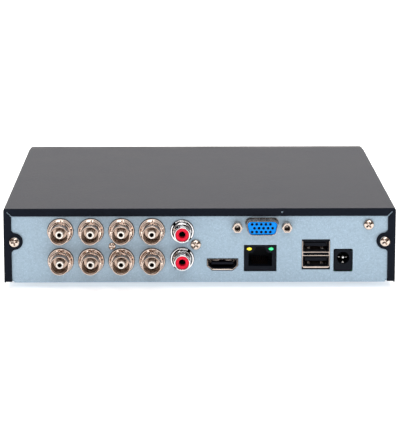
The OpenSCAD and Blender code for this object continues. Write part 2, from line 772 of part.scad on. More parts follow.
module bnc_insulators() {
    back = block_front - bnc_seat_d;
    color("#f1ece4") for (column = [0:bnc_columns - 1], row = [0:bnc_rows - 1])
        on_panel(bnc_x(column), bnc_up(row)) rotate_extrude() polygon([
            [bnc_contact_dia / 2 + snug / 2, back + 0.1], [bnc_bore_dia / 2 - snug, back + 0.1],
            [bnc_bore_dia / 2 - snug, bnc_face_out], [bnc_post_dia / 2, bnc_face_out],
            [bnc_post_dia / 2, bnc_reach - 2.4], [bnc_post_dia / 2 - 0.6, bnc_reach - 1.8],
            [bnc_contact_dia / 2 + snug / 2, bnc_reach - 1.8]]);
}

module bnc_contacts() {
    back = block_front - bnc_seat_d;
    color("#c9a24a") for (column = [0:bnc_columns - 1], row = [0:bnc_rows - 1])
        on_panel(bnc_x(column), bnc_up(row)) difference() {
            translate([0, 0, back + 0.1]) cylinder(d = bnc_contact_dia, h = bnc_reach - 2 - back - 0.1);
            translate([0, 0, bnc_reach - 7])  cylinder(d = bnc_contact_bore, h = 7);
        }
}

module rca_block() {
    height = rca_low + rca_pitch + 7;
    color("#202226") difference() {
        on_panel(rca_x, 0) translate([-rca_block_left, 0, block_front - rca_block_d])
            cube([rca_block_left + rca_block_right, height, rca_block_d]);
        for (row = [0, 1])
            on_panel(rca_x, rca_low + row * rca_pitch) translate([0, 0, block_front - rca_seat_d])
                cylinder(d = rca_collar_dia + 2 * snug, h = rca_seat_d + through);
        on_panel(rca_screw_x, rca_screw_up) translate([0, 0, -connector_screw_len - 1])
            cylinder(d = screw_dia + screw_clearance, h = connector_screw_len + 2);
    }
}

// Phono shell with two slots across its collar, turned by slot_angle.
module rca_shell(row, slot_angle) {
    back = block_front - rca_seat_d;
    collar = rca_collar_dia / 2;
    barrel = rca_barrel_dia / 2;
    color("#dcdcdc") on_panel(rca_x, rca_low + row * rca_pitch) difference() {
        rotate_extrude() polygon([
            [rca_insulator_dia / 2, back], [collar, back], [collar, rca_collar_out - 0.3],
            [collar - 0.3, rca_collar_out], [barrel + rca_step, rca_collar_out],
            [barrel + rca_step, rca_collar_out + 1], [barrel, rca_collar_out + 1.4],
            [barrel, rca_reach - 0.5], [barrel - 0.4, rca_reach], [rca_insulator_dia / 2, rca_reach]]);
        for (turn = [0, 180])
            rotate([0, 0, slot_angle + turn]) translate([barrel + rca_step + 0.1, -rca_slot_w / 2, 0])
                cube([collar, rca_slot_w, rca_collar_out + through]);
    }
}

module rca_insulators() {
    back = block_front - rca_seat_d;
    color("#d8101f") for (row = [0, 1])
        on_panel(rca_x, rca_low + row * rca_pitch) difference() {
            translate([0, 0, back]) cylinder(d = rca_insulator_dia - 2 * snug, h = rca_reach - 0.5 - back);
            translate([0, 0, back - through])
                cylinder(d = rca_hole_dia, h = rca_reach - back + 2 * through);
        }
}

module rca_contacts() {
    back = block_front - rca_seat_d;
    color("#b8b8b8") for (row = [0, 1])
        on_panel(rca_x, rca_low + row * rca_pitch) translate([0, 0, back]) difference() {
            cylinder(d = rca_hole_dia - 2 * snug, h = rca_reach - 4 - back);
            translate([0, 0, 3]) cylinder(d = rca_hole_dia - 0.8, h = rca_reach);
        }
}

// D-shaped shell with the plate behind the panel.
module vga_shell() {
    color("#cfc8c0") on_panel(vga_x, vga_up) difference() {
        union() {
            translate([0, 0, block_front]) linear_extrude(vga_reach - block_front)
                polygon(d_outline(vga_front_w, vga_front_h, 2.4));
            translate([-vga_riser_size[0] / 2, -vga_plate_h / 2 - 0.4, block_front - 0.5])
                cube([vga_riser_size[0], vga_plate_h, 0.5]);
        }
        translate([0, 0, block_front - 1]) linear_extrude(vga_reach - block_front + 2)
            polygon(d_outline(vga_front_w - 2 * vga_wall, vga_front_h - 2 * vga_wall, 1.9));
        for (side = [-1, 1])
            translate([side * vga_post_pitch / 2, 0, block_front - 1]) cylinder(d = 3.2, h = 2);
    }
}

module vga_insert() {
    shrink = 2 * (vga_wall + vga_insert_gap);
    color("#0c8af0") on_panel(vga_x, vga_up) difference() {
        translate([0, 0, block_front - 0.5]) linear_extrude(vga_reach - 0.6 - block_front + 0.5)
            polygon(d_outline(vga_front_w - shrink, vga_front_h - shrink, 1.8));
        for (row = [-1, 0, 1], i = [-2:2])
            translate([(i + (row == 0 ? 0.25 : -0.25)) * vga_pin_pitch, row * vga_row_pitch, 1])
                cylinder(d = vga_pin_dia, h = vga_reach, $fn = 16);
    }
}

// Plastic body that carries the VGA shell over the network socket and down to the board behind it.
module vga_riser() {
    top = vga_up + vga_riser_size[1] / 2;
    back = -rj45_size[2] - 0.6;
    front = block_front - 0.5;
    leg_d = vga_riser_size[2];
    color("#202226") difference() {
        union() {
            on_panel(vga_x, 0)
                translate([-vga_riser_size[0] / 2, top - vga_riser_size[1], back - leg_d])
                    cube([vga_riser_size[0], vga_riser_size[1], front - back + leg_d]);
            on_panel(vga_x, 0) translate([-vga_riser_size[0] / 2, 0, back - leg_d])
                cube([vga_riser_size[0], top - 1, leg_d]);
        }
        for (side = [-1, 1])
            on_panel(vga_x + side * vga_post_pitch / 2, vga_up) translate([0, 0, -7])
                cylinder(d = 2.9, h = 7);
    }
}

module vga_jack_posts() {
    color("#cfc8c0") for (side = [-1, 1])
        on_panel(vga_x + side * vga_post_pitch / 2, vga_up) difference() {
            union() {
                cylinder(d = vga_post_af / cos(30), h = vga_post_len, $fn = 6);
                translate([0, 0, -vga_post_shank]) cylinder(d = vga_post_shank_dia, h = vga_post_shank + snug);
            }
            translate([0, 0, vga_post_len - vga_post_thread])
                cylinder(d = vga_post_bore, h = vga_post_thread + through);
            translate([0, 0, vga_post_len - vga_post_thread - vga_post_pilot])
                cylinder(d = vga_post_pilot_dia, h = vga_post_thread);
        }
}

module hdmi_shell() {
    color("#b9b2ab") on_panel(hdmi_x, hdmi_up) difference() {
        translate([0, 0, -hdmi_size[2]]) linear_extrude(hdmi_size[2] + 0.3)
            polygon(hdmi_outline(hdmi_size[0], hdmi_size[1]));
        translate([0, 0, -hdmi_size[2] + hdmi_wall]) linear_extrude(hdmi_size[2] + through)
            polygon(hdmi_outline(hdmi_size[0], hdmi_size[1], -hdmi_wall));
    }
}

module hdmi_tongue() {
    color("#17191d") on_panel(hdmi_x, hdmi_up) {
        translate([-5.6, -0.2, -hdmi_size[2] + 2.2]) cube([11.2, 1.3, hdmi_size[2] - 3.2]);
        translate([-4.7, -hdmi_size[1] / 2 + 0.5, -hdmi_size[2] + hdmi_wall + snug])
            cube([9.4, hdmi_size[1] - 1, 1.8]);
    }
}

module rj45_housing() {
    size = rj45_size;
    light_up = size[1] - rj45_light[1] / 2 - 0.9;
    color("#131519") on_panel(rj45_x, 0) difference() {
        translate([-size[0] / 2, 0, -size[2]]) cube([size[0], size[1], size[2] + 0.1]);
        translate([-rj45_cavity[0] / 2, rj45_cavity_up, -rj45_cavity[2]])
            cube([rj45_cavity[0], rj45_cavity[1], rj45_cavity[2] + through]);
        translate([-rj45_latch_w / 2, rj45_cavity_up, -rj45_cavity[2]])
            cube([rj45_latch_w, size[1] - rj45_cavity_up - 0.8, rj45_cavity[2] + through]);
        for (side = [-1, 1])
            translate([side * rj45_light_x - rj45_light[0] / 2 - snug, light_up - rj45_light[1] / 2 - snug,
                       -rj45_light[2] - snug])
                cube([rj45_light[0] + 2 * snug, rj45_light[1] + 2 * snug, rj45_light[2] + through]);
    }
}

module rj45_light_body(side) {
    light_up = rj45_size[1] - rj45_light[1] / 2 - 0.9;
    on_panel(rj45_x, 0)
        translate([side * rj45_light_x - rj45_light[0] / 2, light_up - rj45_light[1] / 2, -rj45_light[2]])
            cube(rj45_light);
}

module rj45_light_yellow() {
    color("#f4e81c") rj45_light_body(-1);
}

module rj45_light_green() {
    color("#19c463") rj45_light_body(1);
}

// Eight sprung wires that slope up from the floor of the network socket.
module rj45_contacts() {
    color("#d8b04a") on_panel(rj45_x, rj45_cavity_up)
        for (i = [0:7])
            translate([(i - 3.5) * rj45_contact_pitch - rj45_contact_w / 2, 0.05, -rj45_contact_back])
                rotate([rj45_contact_slope, 0, 0]) translate([0, 0, -rj45_contact_len])
                    cube([rj45_contact_w, rj45_contact_w, rj45_contact_len]);
}

// Stacked shell with two ports.
module usb_shell() {
    color("#b9b2ab") on_panel(usb_x, usb_up) difference() {
        translate([-usb_size[0] / 2, 0, -usb_size[2]]) cube([usb_size[0], usb_size[1], usb_size[2] + 0.2]);
        for (up = usb_port_ups)
            translate([-usb_port[0] / 2, up - 0.6, -usb_port[2]])
                cube([usb_port[0], usb_port[1], usb_port[2] + through]);
        translate([-usb_size[0] / 2 + usb_wall, usb_port_ups[0] + usb_port[1] - 0.2, -2])
            cube([usb_size[0] - 2 * usb_wall, usb_port_ups[1] - usb_port_ups[0] - usb_port[1] - 0.8,
                  2 + through]);
    }
}

module usb_tongues() {
    color("#15171b") on_panel(usb_x, usb_up) for (up = usb_port_ups)
        translate([-5.6, up + usb_port[1] - 0.6 - 2.6, -usb_port[2]]) cube([11.2, 1.8, usb_port[2] - 1]);
}

// DC jack body, open at the front, with a counterbored mouth.
module dc_jack_body() {
    color("#16181c") on_panel(dc_x, 0) difference() {
        translate([-dc_size[0] / 2, 0, -dc_size[2]]) cube([dc_size[0], dc_size[1], dc_size[2] + 0.1]);
        translate([0, dc_hole_up, -10]) cylinder(d = dc_hole_dia, h = 10 + through);
        translate([0, dc_hole_up, -dc_size[2] - through]) cylinder(d = dc_pin_dia + 2 * snug, h = dc_size[2]);
    }
}

module dc_jack_pin() {
    color("#d9d9d9") on_panel(dc_x, dc_hole_up) {
        translate([0, 0, -dc_size[2]]) cylinder(d = dc_pin_dia, h = dc_size[2] - 2);
        translate([0, 0, -2]) cylinder(d1 = dc_pin_dia, d2 = 1, h = 0.8);
    }
}

module heatsink() {
    fin_step = (sink_size[0] - fin_t) / (fin_count - 1);
    color("#b9bdc2") translate([soc[0], soc[1], board_top + soc_size[2]]) {
        box_mid([sink_size[0], sink_size[1], sink_base]);
        for (i = [0:fin_count - 1])
            translate([-sink_size[0] / 2 + i * fin_step, -sink_size[1] / 2, sink_base - snug])
                cube([fin_t, sink_size[1], sink_size[2] - sink_base]);
    }
}

// Processor, two decoders, two memories and the network transformer.
module chips() {
    color("#1b1d20") {
        on_board(soc[0], soc[1]) box_mid(soc_size);
        for (x = [bnc_mid_x - 14, bnc_mid_x + 12])
            on_board(x, board_y + 32) box_mid([14, 14, 1.2]);
        for (x = [soc[0] - 38, soc[0] - 26])
            on_board(x, board_y + 56) box_mid([8, 13.5, 1.1]);
        on_board(rj45_x + 2, board_y + 38) box_mid([17, 9, 5.6]);
    }
}

module capacitors() {
    color("#2d3c52") for (spot = [[usb_x - 4, 24], [usb_x + 5, 24], [dc_x, 22], [dc_x + 10, 24]])
        on_board(spot[0], board_y + spot[1]) {
            cylinder(d = 6.3, h = 7.2);
            translate([0, 0, 7.2]) cylinder(d1 = 6.3, d2 = 5.7, h = 0.4);
        }
}

module coin_cell() {
    color("#c9cbce") on_board(cell_spot[0], cell_spot[1]) translate([0, 0, 1.4]) {
        cylinder(d = 20, h = 2.4);
        translate([0, 0, 2.4]) cylinder(d = 17.6, h = 0.8);
    }
}

module coin_cell_holder() {
    color("#202226") on_board(cell_spot[0], cell_spot[1]) difference() {
        box_mid([24, 22.4, 4.4]);
        translate([0, 0, 1.4]) cylinder(d = 20 + 4 * snug, h = 4);
    }
}

module buzzer() {
    color("#202226") on_board(rj45_x + 20, board_y + 42) difference() {
        cylinder(d = 12, h = 8.5);
        translate([0, 0, 5]) cylinder(d = 2, h = 4);
    }
}

// Board-edge sockets for the power, data and indicator cables.
module board_headers() {
    color("#e9e4d6") {
        translate([power_header_x - 6, board_front - header_d, board_top]) cube([12, header_d, 7]);
        translate([data_header_x - data_plug[0] / 2 - 1, board_front - header_d, board_top])
            cube([data_plug[0] + 2, header_d, 7]);
        translate([flat_header_x - 1.8, board_front - header_d, board_top])
            cube([3.6, header_d, flat_cable_h + 1]);
    }
}

// ---------- hard disk ----------

module disk_base() {
    body_h = disk_h - disk_lid_t;
    color("#b6b9bd") difference() {
        translate([disk_x, disk_y, disk_z]) cube([disk_l, disk_w, body_h]);
        translate([spindle[0], spindle[1], disk_z + disk_floor_t])
            cylinder(d = platter_dia + 2 * platter_room, h = body_h, $fn = 96);
        translate([arm_pivot[0] - 32, disk_mid_y - 44, disk_z + disk_floor_t]) cube([66, 84, body_h]);
        translate([disk_end - disk_pocket[0], disk_mid_y - disk_pocket[1] / 2, disk_z - through])
            cube([disk_pocket[0] + through, disk_pocket[1], disk_pocket[2] + through]);
        for (x = disk_hole_xs, y = disk_hole_ys)
            translate([x, y, disk_z - through])
                cylinder(d = disk_screw_dia + screw_clearance, h = disk_screw_grip + 1 + through);
        translate([disk_end - 7, power_y - 13, disk_z - through])
            cube([7 + through, data_y + 8 - power_y + 13, 8.2 + through]);
    }
}

module disk_lid() {
    color("#c6c9cc") translate([disk_x + disk_l / 2, disk_mid_y, disk_z + disk_h - disk_lid_t])
        linear_extrude(disk_lid_t) polygon(round_rect(disk_l - 3, disk_w - 3, 4));
}

// Circuit board under the disk, with the plug socket at its end.
module disk_board() {
    socket_w = data_y - power_y + 17;
    color("#1d6b3a") {
        translate([disk_end - 63, disk_mid_y - 39, disk_z + 0.8]) cube([57, 78, board_t]);
        translate([disk_end - 6.8, power_y - 11.5, disk_z + 1]) cube([6.2, socket_w, 6.8]);
    }
}

module disk_platters() {
    color("#d9dcdf") translate([spindle[0], spindle[1], 0]) {
        for (z = platter_zs) translate([0, 0, z]) cylinder(d = platter_dia, h = platter_t, $fn = 96);
        translate([0, 0, disk_z + disk_floor_t + 0.4])
            cylinder(d = hub_dia, h = platter_zs[1] + platter_t + 1.5 - disk_z - disk_floor_t - 0.4);
    }
}

// Head arm: three blades on a pivot, with the coil behind it.
module head_arm() {
    low = disk_z + disk_floor_t + 0.4;
    high = blade_zs[2] + blade_t + 0.4;
    color("#c7b98f") translate([arm_pivot[0], arm_pivot[1], 0]) rotate([0, 0, arm_rest_angle]) {
        translate([0, 0, low]) cylinder(d = 12.6, h = high - low);
        for (z = blade_zs) translate([0, 0, z]) linear_extrude(blade_t)
            polygon([[0, -5], [arm_len - 3, -2.2], [arm_len, -1.2],
                     [arm_len, 1.2], [arm_len - 3, 2.2], [0, 5]]);
        translate([0, 0, (low + high) / 2 - 1.5]) linear_extrude(3)
            polygon([[0, -5], [-coil_len, -11], [-coil_len, 11], [0, 5]]);
    }
}

// ---------- cables ----------

module data_cable() {
    disk_plug_end = disk_end + plug_len;
    board_plug_end = board_front + plug_len;
    start = [disk_plug_end, data_y, disk_plug_z];
    finish = [data_header_x, board_plug_end, board_plug_z];
    color("#b3202a") {
        wire(curve_points(start - [0.4, 0, 0], start + [20, 0, 0], finish + [0, 26, 0],
                          finish - [0, 0.4, 0], 22), data_cable_dia, 10);
        translate([disk_end - 0.4, data_y - data_plug[0] / 2, disk_plug_z - data_plug[1] / 2])
            cube([plug_len + 0.4, data_plug[0], data_plug[1]]);
        translate([data_header_x - data_plug[0] / 2, board_front + snug, board_plug_z - data_plug[1] / 2])
            cube([data_plug[0], plug_len - snug, data_plug[1]]);
    }
}

module power_cable() {
    disk_plug_end = disk_end + plug_len;
    board_plug_end = board_front + plug_len - 2;
    color("#26282c") {
        for (i = [0:wire_count - 1]) {
            across = (i - (wire_count - 1) / 2) * wire_pitch;
            start = [disk_plug_end - 0.4, power_y - across * 1.6, disk_plug_z];
            finish = [power_header_x + across, board_plug_end - 0.4, board_plug_z];
            wire(curve_points(start, start + [9 + across, 0, 0], finish + [0, 9 + across, 0], finish, 16),
                 wire_dia, 8);
        }
        translate([disk_end - 0.4, power_y - power_plug[0] / 2, disk_plug_z - power_plug[1] / 2])
            cube([plug_len + 0.4, power_plug[0], power_plug[1]]);
        translate([power_header_x - 5.4, board_front + snug, board_plug_z - 2.4])
            cube([10.8, plug_len - 2 - snug, 4.8]);
    }
}

// ---------- nodes ----------

base_tray();
top_cover();
front_bezel();
indicator_window();
indicator_board();
indicator_lights();
indicator_cable();
rubber_feet();
cover_screw(-1);  // cover_screw_left
cover_screw(1);  // cover_screw_right
ground_screw();
connector_screws();
board_screws();
board_standoffs();
disk_screws();
main_board();
bnc_block();
for (number = [1:bnc_columns * bnc_rows])
    bnc_shell(number);
bnc_insulators();
bnc_contacts();
rca_block();
rca_shell(1, 135);  // rca_shell_upper
rca_shell(0, 52);  // rca_shell_lower
rca_insulators();
rca_contacts();
vga_shell();
vga_insert();
vga_riser();
vga_jack_posts();
hdmi_shell();
hdmi_tongue();
rj45_housing();
rj45_contacts();
rj45_light_yellow();
rj45_light_green();
usb_shell();
usb_tongues();
dc_jack_body();
dc_jack_pin();
heatsink();
chips();
capacitors();
coin_cell();
coin_cell_holder();
buzzer();
board_headers();
disk_base();
disk_lid();
disk_board();
disk_platters();
head_arm();
data_cable();
power_cable();
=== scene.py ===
import math
import random

import bmesh
import bpy
from bpy.props import FloatProperty, FloatVectorProperty, IntProperty, PointerProperty
from mathutils import Matrix, Vector


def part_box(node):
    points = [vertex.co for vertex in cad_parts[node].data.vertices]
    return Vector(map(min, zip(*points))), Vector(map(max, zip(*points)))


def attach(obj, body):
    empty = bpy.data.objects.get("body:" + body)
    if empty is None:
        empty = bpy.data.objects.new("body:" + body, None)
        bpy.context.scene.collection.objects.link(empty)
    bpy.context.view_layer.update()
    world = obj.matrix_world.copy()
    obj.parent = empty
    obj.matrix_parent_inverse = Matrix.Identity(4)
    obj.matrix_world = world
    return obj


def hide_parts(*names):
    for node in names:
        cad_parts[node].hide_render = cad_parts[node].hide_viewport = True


bl_info = {
    "name": "Video Recorder Details",
    "version": (1, 0, 0),
    "blender": (4, 5, 0),
    "location": "View3D > Sidebar > Recorder",
    "description": "Builds the sheet metal, sockets, boards and finishes of a compact video recorder",
    "category": "Add Mesh",
}

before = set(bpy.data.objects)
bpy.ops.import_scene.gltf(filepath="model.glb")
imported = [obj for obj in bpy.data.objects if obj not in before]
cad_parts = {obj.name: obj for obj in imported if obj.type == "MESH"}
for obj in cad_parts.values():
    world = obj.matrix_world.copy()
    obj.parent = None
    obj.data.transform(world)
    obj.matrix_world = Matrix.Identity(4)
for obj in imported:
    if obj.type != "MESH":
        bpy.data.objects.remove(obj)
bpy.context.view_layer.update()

MM = 0.001
SHARP = math.radians(28)
COLOUR = {"subtype": "COLOR", "size": 3, "min": 0, "max": 1}
LENGTH = {"subtype": "DISTANCE", "unit": "LENGTH"}


# ---------------------------------------------------------------- settings

class RecorderSizes(bpy.types.PropertyGroup):
    """Sizes of the details that the frame leaves open"""

    edge: FloatProperty(
        name="Edge Radius", description="Radius of the broken edges of sheet and moulded pieces",
        default=0.00012, min=0.00002, max=0.0004, **LENGTH)
    fold: FloatProperty(
        name="Fold Radius", description="Outer radius of the cover's folds",
        default=0.0012, min=0.0008, max=0.002, **LENGTH)
    sides: IntProperty(
        name="Turned Sides", description="Sides of a turned piece", default=64, min=24, max=128)
    label_inset: FloatProperty(
        name="Label Inset", description="Distance from the disk lid's edge to its blank label",
        default=0.012, min=0.004, max=0.03, **LENGTH)


class RecorderFinishes(bpy.types.PropertyGroup):
    """Colours of the finishes"""

    cover: FloatVectorProperty(
        name="Cover Paint", description="Powder coat on the cover", default=(0.0045, 0.0065, 0.012), **COLOUR)
    panel: FloatVectorProperty(
        name="Zinc Panel", description="Plated steel of the tray and rear panel",
        default=(0.280, 0.380, 0.468), **COLOUR)
    nickel: FloatVectorProperty(
        name="Nickel", description="Nickel plating of the video jacks", default=(0.56, 0.45, 0.385), **COLOUR)
    chrome: FloatVectorProperty(
        name="Chrome", description="Bright plating of the phono jacks", default=(0.56, 0.56, 0.57), **COLOUR)
    red: FloatVectorProperty(
        name="Phono Red", description="Insulators of the phono jacks", default=(0.62, 0.0050, 0.030), **COLOUR)
    blue: FloatVectorProperty(
        name="Monitor Blue", description="Insert of the monitor socket", default=(0.0, 0.215, 0.72), **COLOUR)
    plastic: FloatVectorProperty(
        name="Black Plastic", description="Moulded bodies of the sockets",
        default=(0.0045, 0.0060, 0.0100), **COLOUR)
    board: FloatVectorProperty(
        name="Board Green", description="Solder mask of the circuit boards",
        default=(0.012, 0.13, 0.05), **COLOUR)


class RecorderStage(bpy.types.PropertyGroup):
    """Camera, light and floor"""

    lens: FloatProperty(name="Lens", description="Focal length in millimetres", default=170.4, min=50, max=300)
    camera_at: FloatVectorProperty(
        name="Camera", description="Place of the camera", subtype="TRANSLATION", unit="LENGTH",
        size=3, default=(-0.0107, -1.0952, 0.2395))
    camera_tilt: FloatProperty(
        name="Camera Tilt", description="Turn of the camera about its own horizontal axis",
        subtype="ANGLE", unit="ROTATION", default=math.radians(78.67))
    camera_turn: FloatProperty(
        name="Camera Turn", description="Turn of the camera about the vertical axis",
        subtype="ANGLE", unit="ROTATION", default=math.radians(-0.616))
    key: FloatProperty(
        name="Key Light", description="Power of the light over the recorder", default=26.0, min=0)
    surround: FloatProperty(
        name="Surround", description="Strength of the light from all round", default=0.9, min=0)
    fill: FloatProperty(
        name="Fill Light", description="Power of the light behind the camera", default=8.0, min=0)
    floor: FloatVectorProperty(
        name="Floor", description="Colour of the floor", default=(0.90, 0.90, 0.90), **COLOUR)


def sizes():
    return bpy.context.scene.recorder_sizes


def colours():
    return bpy.context.scene.recorder_finishes


# ---------------------------------------------------------------- places taken from the frame

# Shapes are made in millimetres, and a seat takes them to their place in the frame, in metres.

def box(node):
    """A node's lowest and highest corner, in millimetres"""
    low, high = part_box(node)
    return low / MM, high / MM


def boxes_of(node):
    """The box of each separate solid in a node"""
    bm = bmesh.new()
    bm.from_mesh(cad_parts[node].data)
    bmesh.ops.remove_doubles(bm, verts=bm.verts, dist=2e-6)
    waiting, found = set(bm.verts), []
    while waiting:
        reached = [waiting.pop()]
        for vert in reached:
            linked = {edge.other_vert(vert) for edge in vert.link_edges} & waiting
            waiting -= linked
            reached.extend(linked)
        found.append([Vector(end(v.co[i] for v in reached) for i in range(3)) / MM for end in (min, max)])
    bm.free()
    return sorted(found, key=lambda corners: tuple(round(c, 2) for c in corners[0]))


PANEL = box("main_board")[0].y - 1.5
OUTWARD = Matrix.Rotation(math.pi / 2, 4, "X")


def seat_at(x, y, z, turn=Matrix()):
    return Matrix.Scale(MM, 4) @ Matrix.Translation((x, y, z)) @ turn


def on_panel(node, z=None, out=0.0):
    """A seat behind a socket's middle, or at a height. Local Z points out of the rear panel and local Y up"""
    low, high = box(node)
    return seat_at((low.x + high.x) / 2, PANEL - out, (low.z + high.z) / 2 if z is None else z, OUTWARD)


# ---------------------------------------------------------------- outlines

def circle(radius, sides=48, centre=(0.0, 0.0)):
    return [(centre[0] + radius * math.cos(math.tau * i / sides),
             centre[1] + radius * math.sin(math.tau * i / sides)) for i in range(sides)]


def arc(centre, radius, first, last, steps):
    """Points on an arc, its angles in degrees"""
    angles = [math.radians(first + (last - first) * i / steps) for i in range(steps + 1)]
    return [(centre[0] + radius * math.cos(a), centre[1] + radius * math.sin(a)) for a in angles]


def rounded(corners, radius, steps):
    """An outline round the centres of four corner arcs, from the upper right and on to the left"""
    return [point for i, centre in enumerate(corners)
            for point in arc(centre, radius, 90 * i, 90 * i + 90, steps)]


def round_rect(width, height, radius, steps=5, centre=(0.0, 0.0)):
    x, y = width / 2 - radius, height / 2 - radius
    corners = [(centre[0] + i * x, centre[1] + j * y) for i, j in ((1, 1), (-1, 1), (-1, -1), (1, -1))]
    return rounded(corners, radius, steps)


def d_outline(width, height, radius, steps=6):
    """A D socket's outline, wide at the top, with sides that lean in"""
    x, y, lean = width / 2 - radius, height / 2 - radius, height * math.tan(math.radians(6))
    return rounded([(x, y), (-x, y), (lean - x, -y), (x - lean, -y)], radius, steps)


def hdmi_outline(width, height, grow=0.0):
    half, low, slant = width / 2 + grow, width / 2 - 2.5 + 0.4 * grow, 2.1 - height / 2
    top, bottom = height / 2 + grow, -height / 2 - grow
    return [(-half, top), (-half, slant), (-low, bottom), (low, bottom), (half, slant), (half, top)]


def cross_outline(reach, half):
    """A plus sign with equal arms"""
    arm = [(reach, half), (half, half), (half, reach), (-half, reach), (-half, half), (-reach, half)]
    return arm + [(-x, -y) for x, y in arm]


def notched_circle(radius, depth, width, angle, sides=64):
    """A circle with a straight notch cut into its rim at an angle in degrees"""
    half = math.degrees(math.asin(width / 2 / radius))
    out = Vector((math.cos(math.radians(angle)), math.sin(math.radians(angle))))
    side = Vector((-out.y, out.x)) * width / 2
    notch = [tuple(out * (radius - depth) - side), tuple(out * (radius - depth) + side)]
    return notch + arc((0, 0), radius, angle + half, angle + 360 - half, sides)


def scaled(points, factor):
    return [(x * factor, y * factor) for x, y in points]


# ---------------------------------------------------------------- mesh tools

def bevel_sharp(bm, radius, segments=2):
    edges = [e for e in bm.edges if len(e.link_faces) == 2 and e.calc_face_angle(0.0) > SHARP]
    if edges and radius > 0:
        bmesh.ops.bevel(bm, geom=edges, offset=radius, offset_type="OFFSET", segments=segments,
                        profile=0.5, affect="EDGES", clamp_overlap=True, material=-1)
    return bm


def ring(bm, points, height=0.0):
    verts = [bm.verts.new((x, y, height)) for x, y in points]
    return [bm.edges.new(pair) for pair in zip(verts, verts[1:] + verts[:1])]


def pushed(bm, edges, height):
    """Walls from a loop of edges, along Z. Returns the far loop."""
    new = bmesh.ops.extrude_edge_only(bm, edges=edges)["geom"]
    verts = {g for g in new if isinstance(g, bmesh.types.BMVert)}
    bmesh.ops.translate(bm, verts=list(verts), vec=(0, 0, height))
    return [g for g in new if isinstance(g, bmesh.types.BMEdge) and set(g.verts) <= verts]


def filled(bm, edges):
    found = bmesh.ops.triangle_fill(bm, use_beauty=True, use_dissolve=False, edges=edges, normal=(0, 0, 1))
    return [g for g in found["geom"] if isinstance(g, bmesh.types.BMFace)]


def plate(outline, holes, low, high):
    """A sheet between two heights, with holes through it"""
    bm = bmesh.new()
    edges = [edge for points in (outline, *holes) for edge in ring(bm, points, low)]
    grown = bmesh.ops.extrude_face_region(bm, geom=filled(bm, edges))["geom"]
    top = [g for g in grown if isinstance(g, bmesh.types.BMVert)]
    bmesh.ops.translate(bm, vec=(0, 0, high - low), verts=top)
    return bm


def socket(outline, mouths, depth):
    """A body behind Z = 0 with hollows: each mouth is its outline and its depth"""
    bm = bmesh.new()
    outer = ring(bm, outline)
    inner = [ring(bm, points) for points, _ in mouths]
    filled(bm, outer + [edge for edges in inner for edge in edges])
    bmesh.ops.edgeloop_fill(bm, edges=pushed(bm, outer, -depth))
    for edges, (_, hollow) in zip(inner, mouths):
        bmesh.ops.edgeloop_fill(bm, edges=pushed(bm, edges, -hollow))
    return bm


def lofted(loops):
    """Walls through loops of (points, height), and back to the first loop"""
    bm = bmesh.new()
    rings = [ring(bm, points, height) for points, height in loops]
    for here, after in zip(rings, rings[1:] + rings[:1]):
        bmesh.ops.bridge_loops(bm, edges=here + after)
    return bm


def turned(profile, sides=None):
    """A profile of (radius, height) points turned about Z; it closes on itself or on the axis"""
    bm = bmesh.new()
    verts = [bm.verts.new((r, 0, z)) for r, z in profile]
    pairs = list(zip(verts, verts[1:]))
    if profile[0][0] > 0 or profile[-1][0] > 0:
        pairs.append((verts[-1], verts[0]))
    edges = [bm.edges.new(pair) for pair in pairs]
    bmesh.ops.spin(bm, geom=verts + edges, cent=(0, 0, 0), axis=(0, 0, 1), dvec=(0, 0, 0),
                   angle=math.tau, steps=sides or sizes().sides, use_merge=True, use_duplicate=False)
    bmesh.ops.remove_doubles(bm, verts=bm.verts, dist=1e-4)
    bmesh.ops.dissolve_degenerate(bm, edges=bm.edges, dist=1e-5)
    return bm


def block(size, centre=(0, 0, 0), radius=0.0, segments=2):
    bm = bmesh.new()
    bmesh.ops.create_cube(bm, size=1)
    bmesh.ops.scale(bm, vec=size, verts=bm.verts)
    bmesh.ops.translate(bm, vec=centre, verts=bm.verts)
    return bevel_sharp(bm, radius, segments)


def contact_row(count, pitch, size, centre):
    """A row of sprung contacts along X"""
    return [block(size, (centre[0] + (i - (count - 1) / 2) * pitch, centre[1], centre[2]), 0.05, 1)
            for i in range(count)]


def joined(parts):
    whole = bmesh.new()
    for part in parts:
        mesh = bpy.data.meshes.new("part")
        part.to_mesh(mesh)
        part.free()
        whole.from_mesh(mesh)
        bpy.data.meshes.remove(mesh)
    return whole


def placed(bm, matrix):
    bmesh.ops.transform(bm, matrix=matrix, verts=bm.verts)
    return bm


def shifted(bm, x=0.0, y=0.0, z=0.0):
    return placed(bm, Matrix.Translation((x, y, z)))


def unwrap_turned(bm):
    """Lines of equal V run round the axis, so that turning marks follow them"""
    layer = bm.loops.layers.uv.verify()
    for face in bm.faces:
        for loop in face.loops:
            x, y, z = loop.vert.co
            loop[layer].uv = (math.atan2(y, x) / math.tau, (math.hypot(x, y) + 1.7 * z) / 10)
    return bm


def fitted(corners, profile, sides):
    """A turned shape that stands in a box. profile gives its points from the box's radius and height"""
    low, high = corners
    shape = turned(profile((high.x - low.x) / 2, high.z - low.z), sides)
    return placed(shape, seat_at((low.x + high.x) / 2, (low.y + high.y) / 2, low.z))


def copy_of(node):
    """A merged copy of a frame node, in metres, with its flat faces joined up"""
    bm = bmesh.new()
    bm.from_mesh(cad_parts[node].data)
    bmesh.ops.remove_doubles(bm, verts=bm.verts, dist=2e-6)
    bmesh.ops.dissolve_limit(bm, angle_limit=math.radians(0.5), use_dissolve_boundaries=False,
                             verts=bm.verts, edges=bm.edges, delimit=set())
    return bm


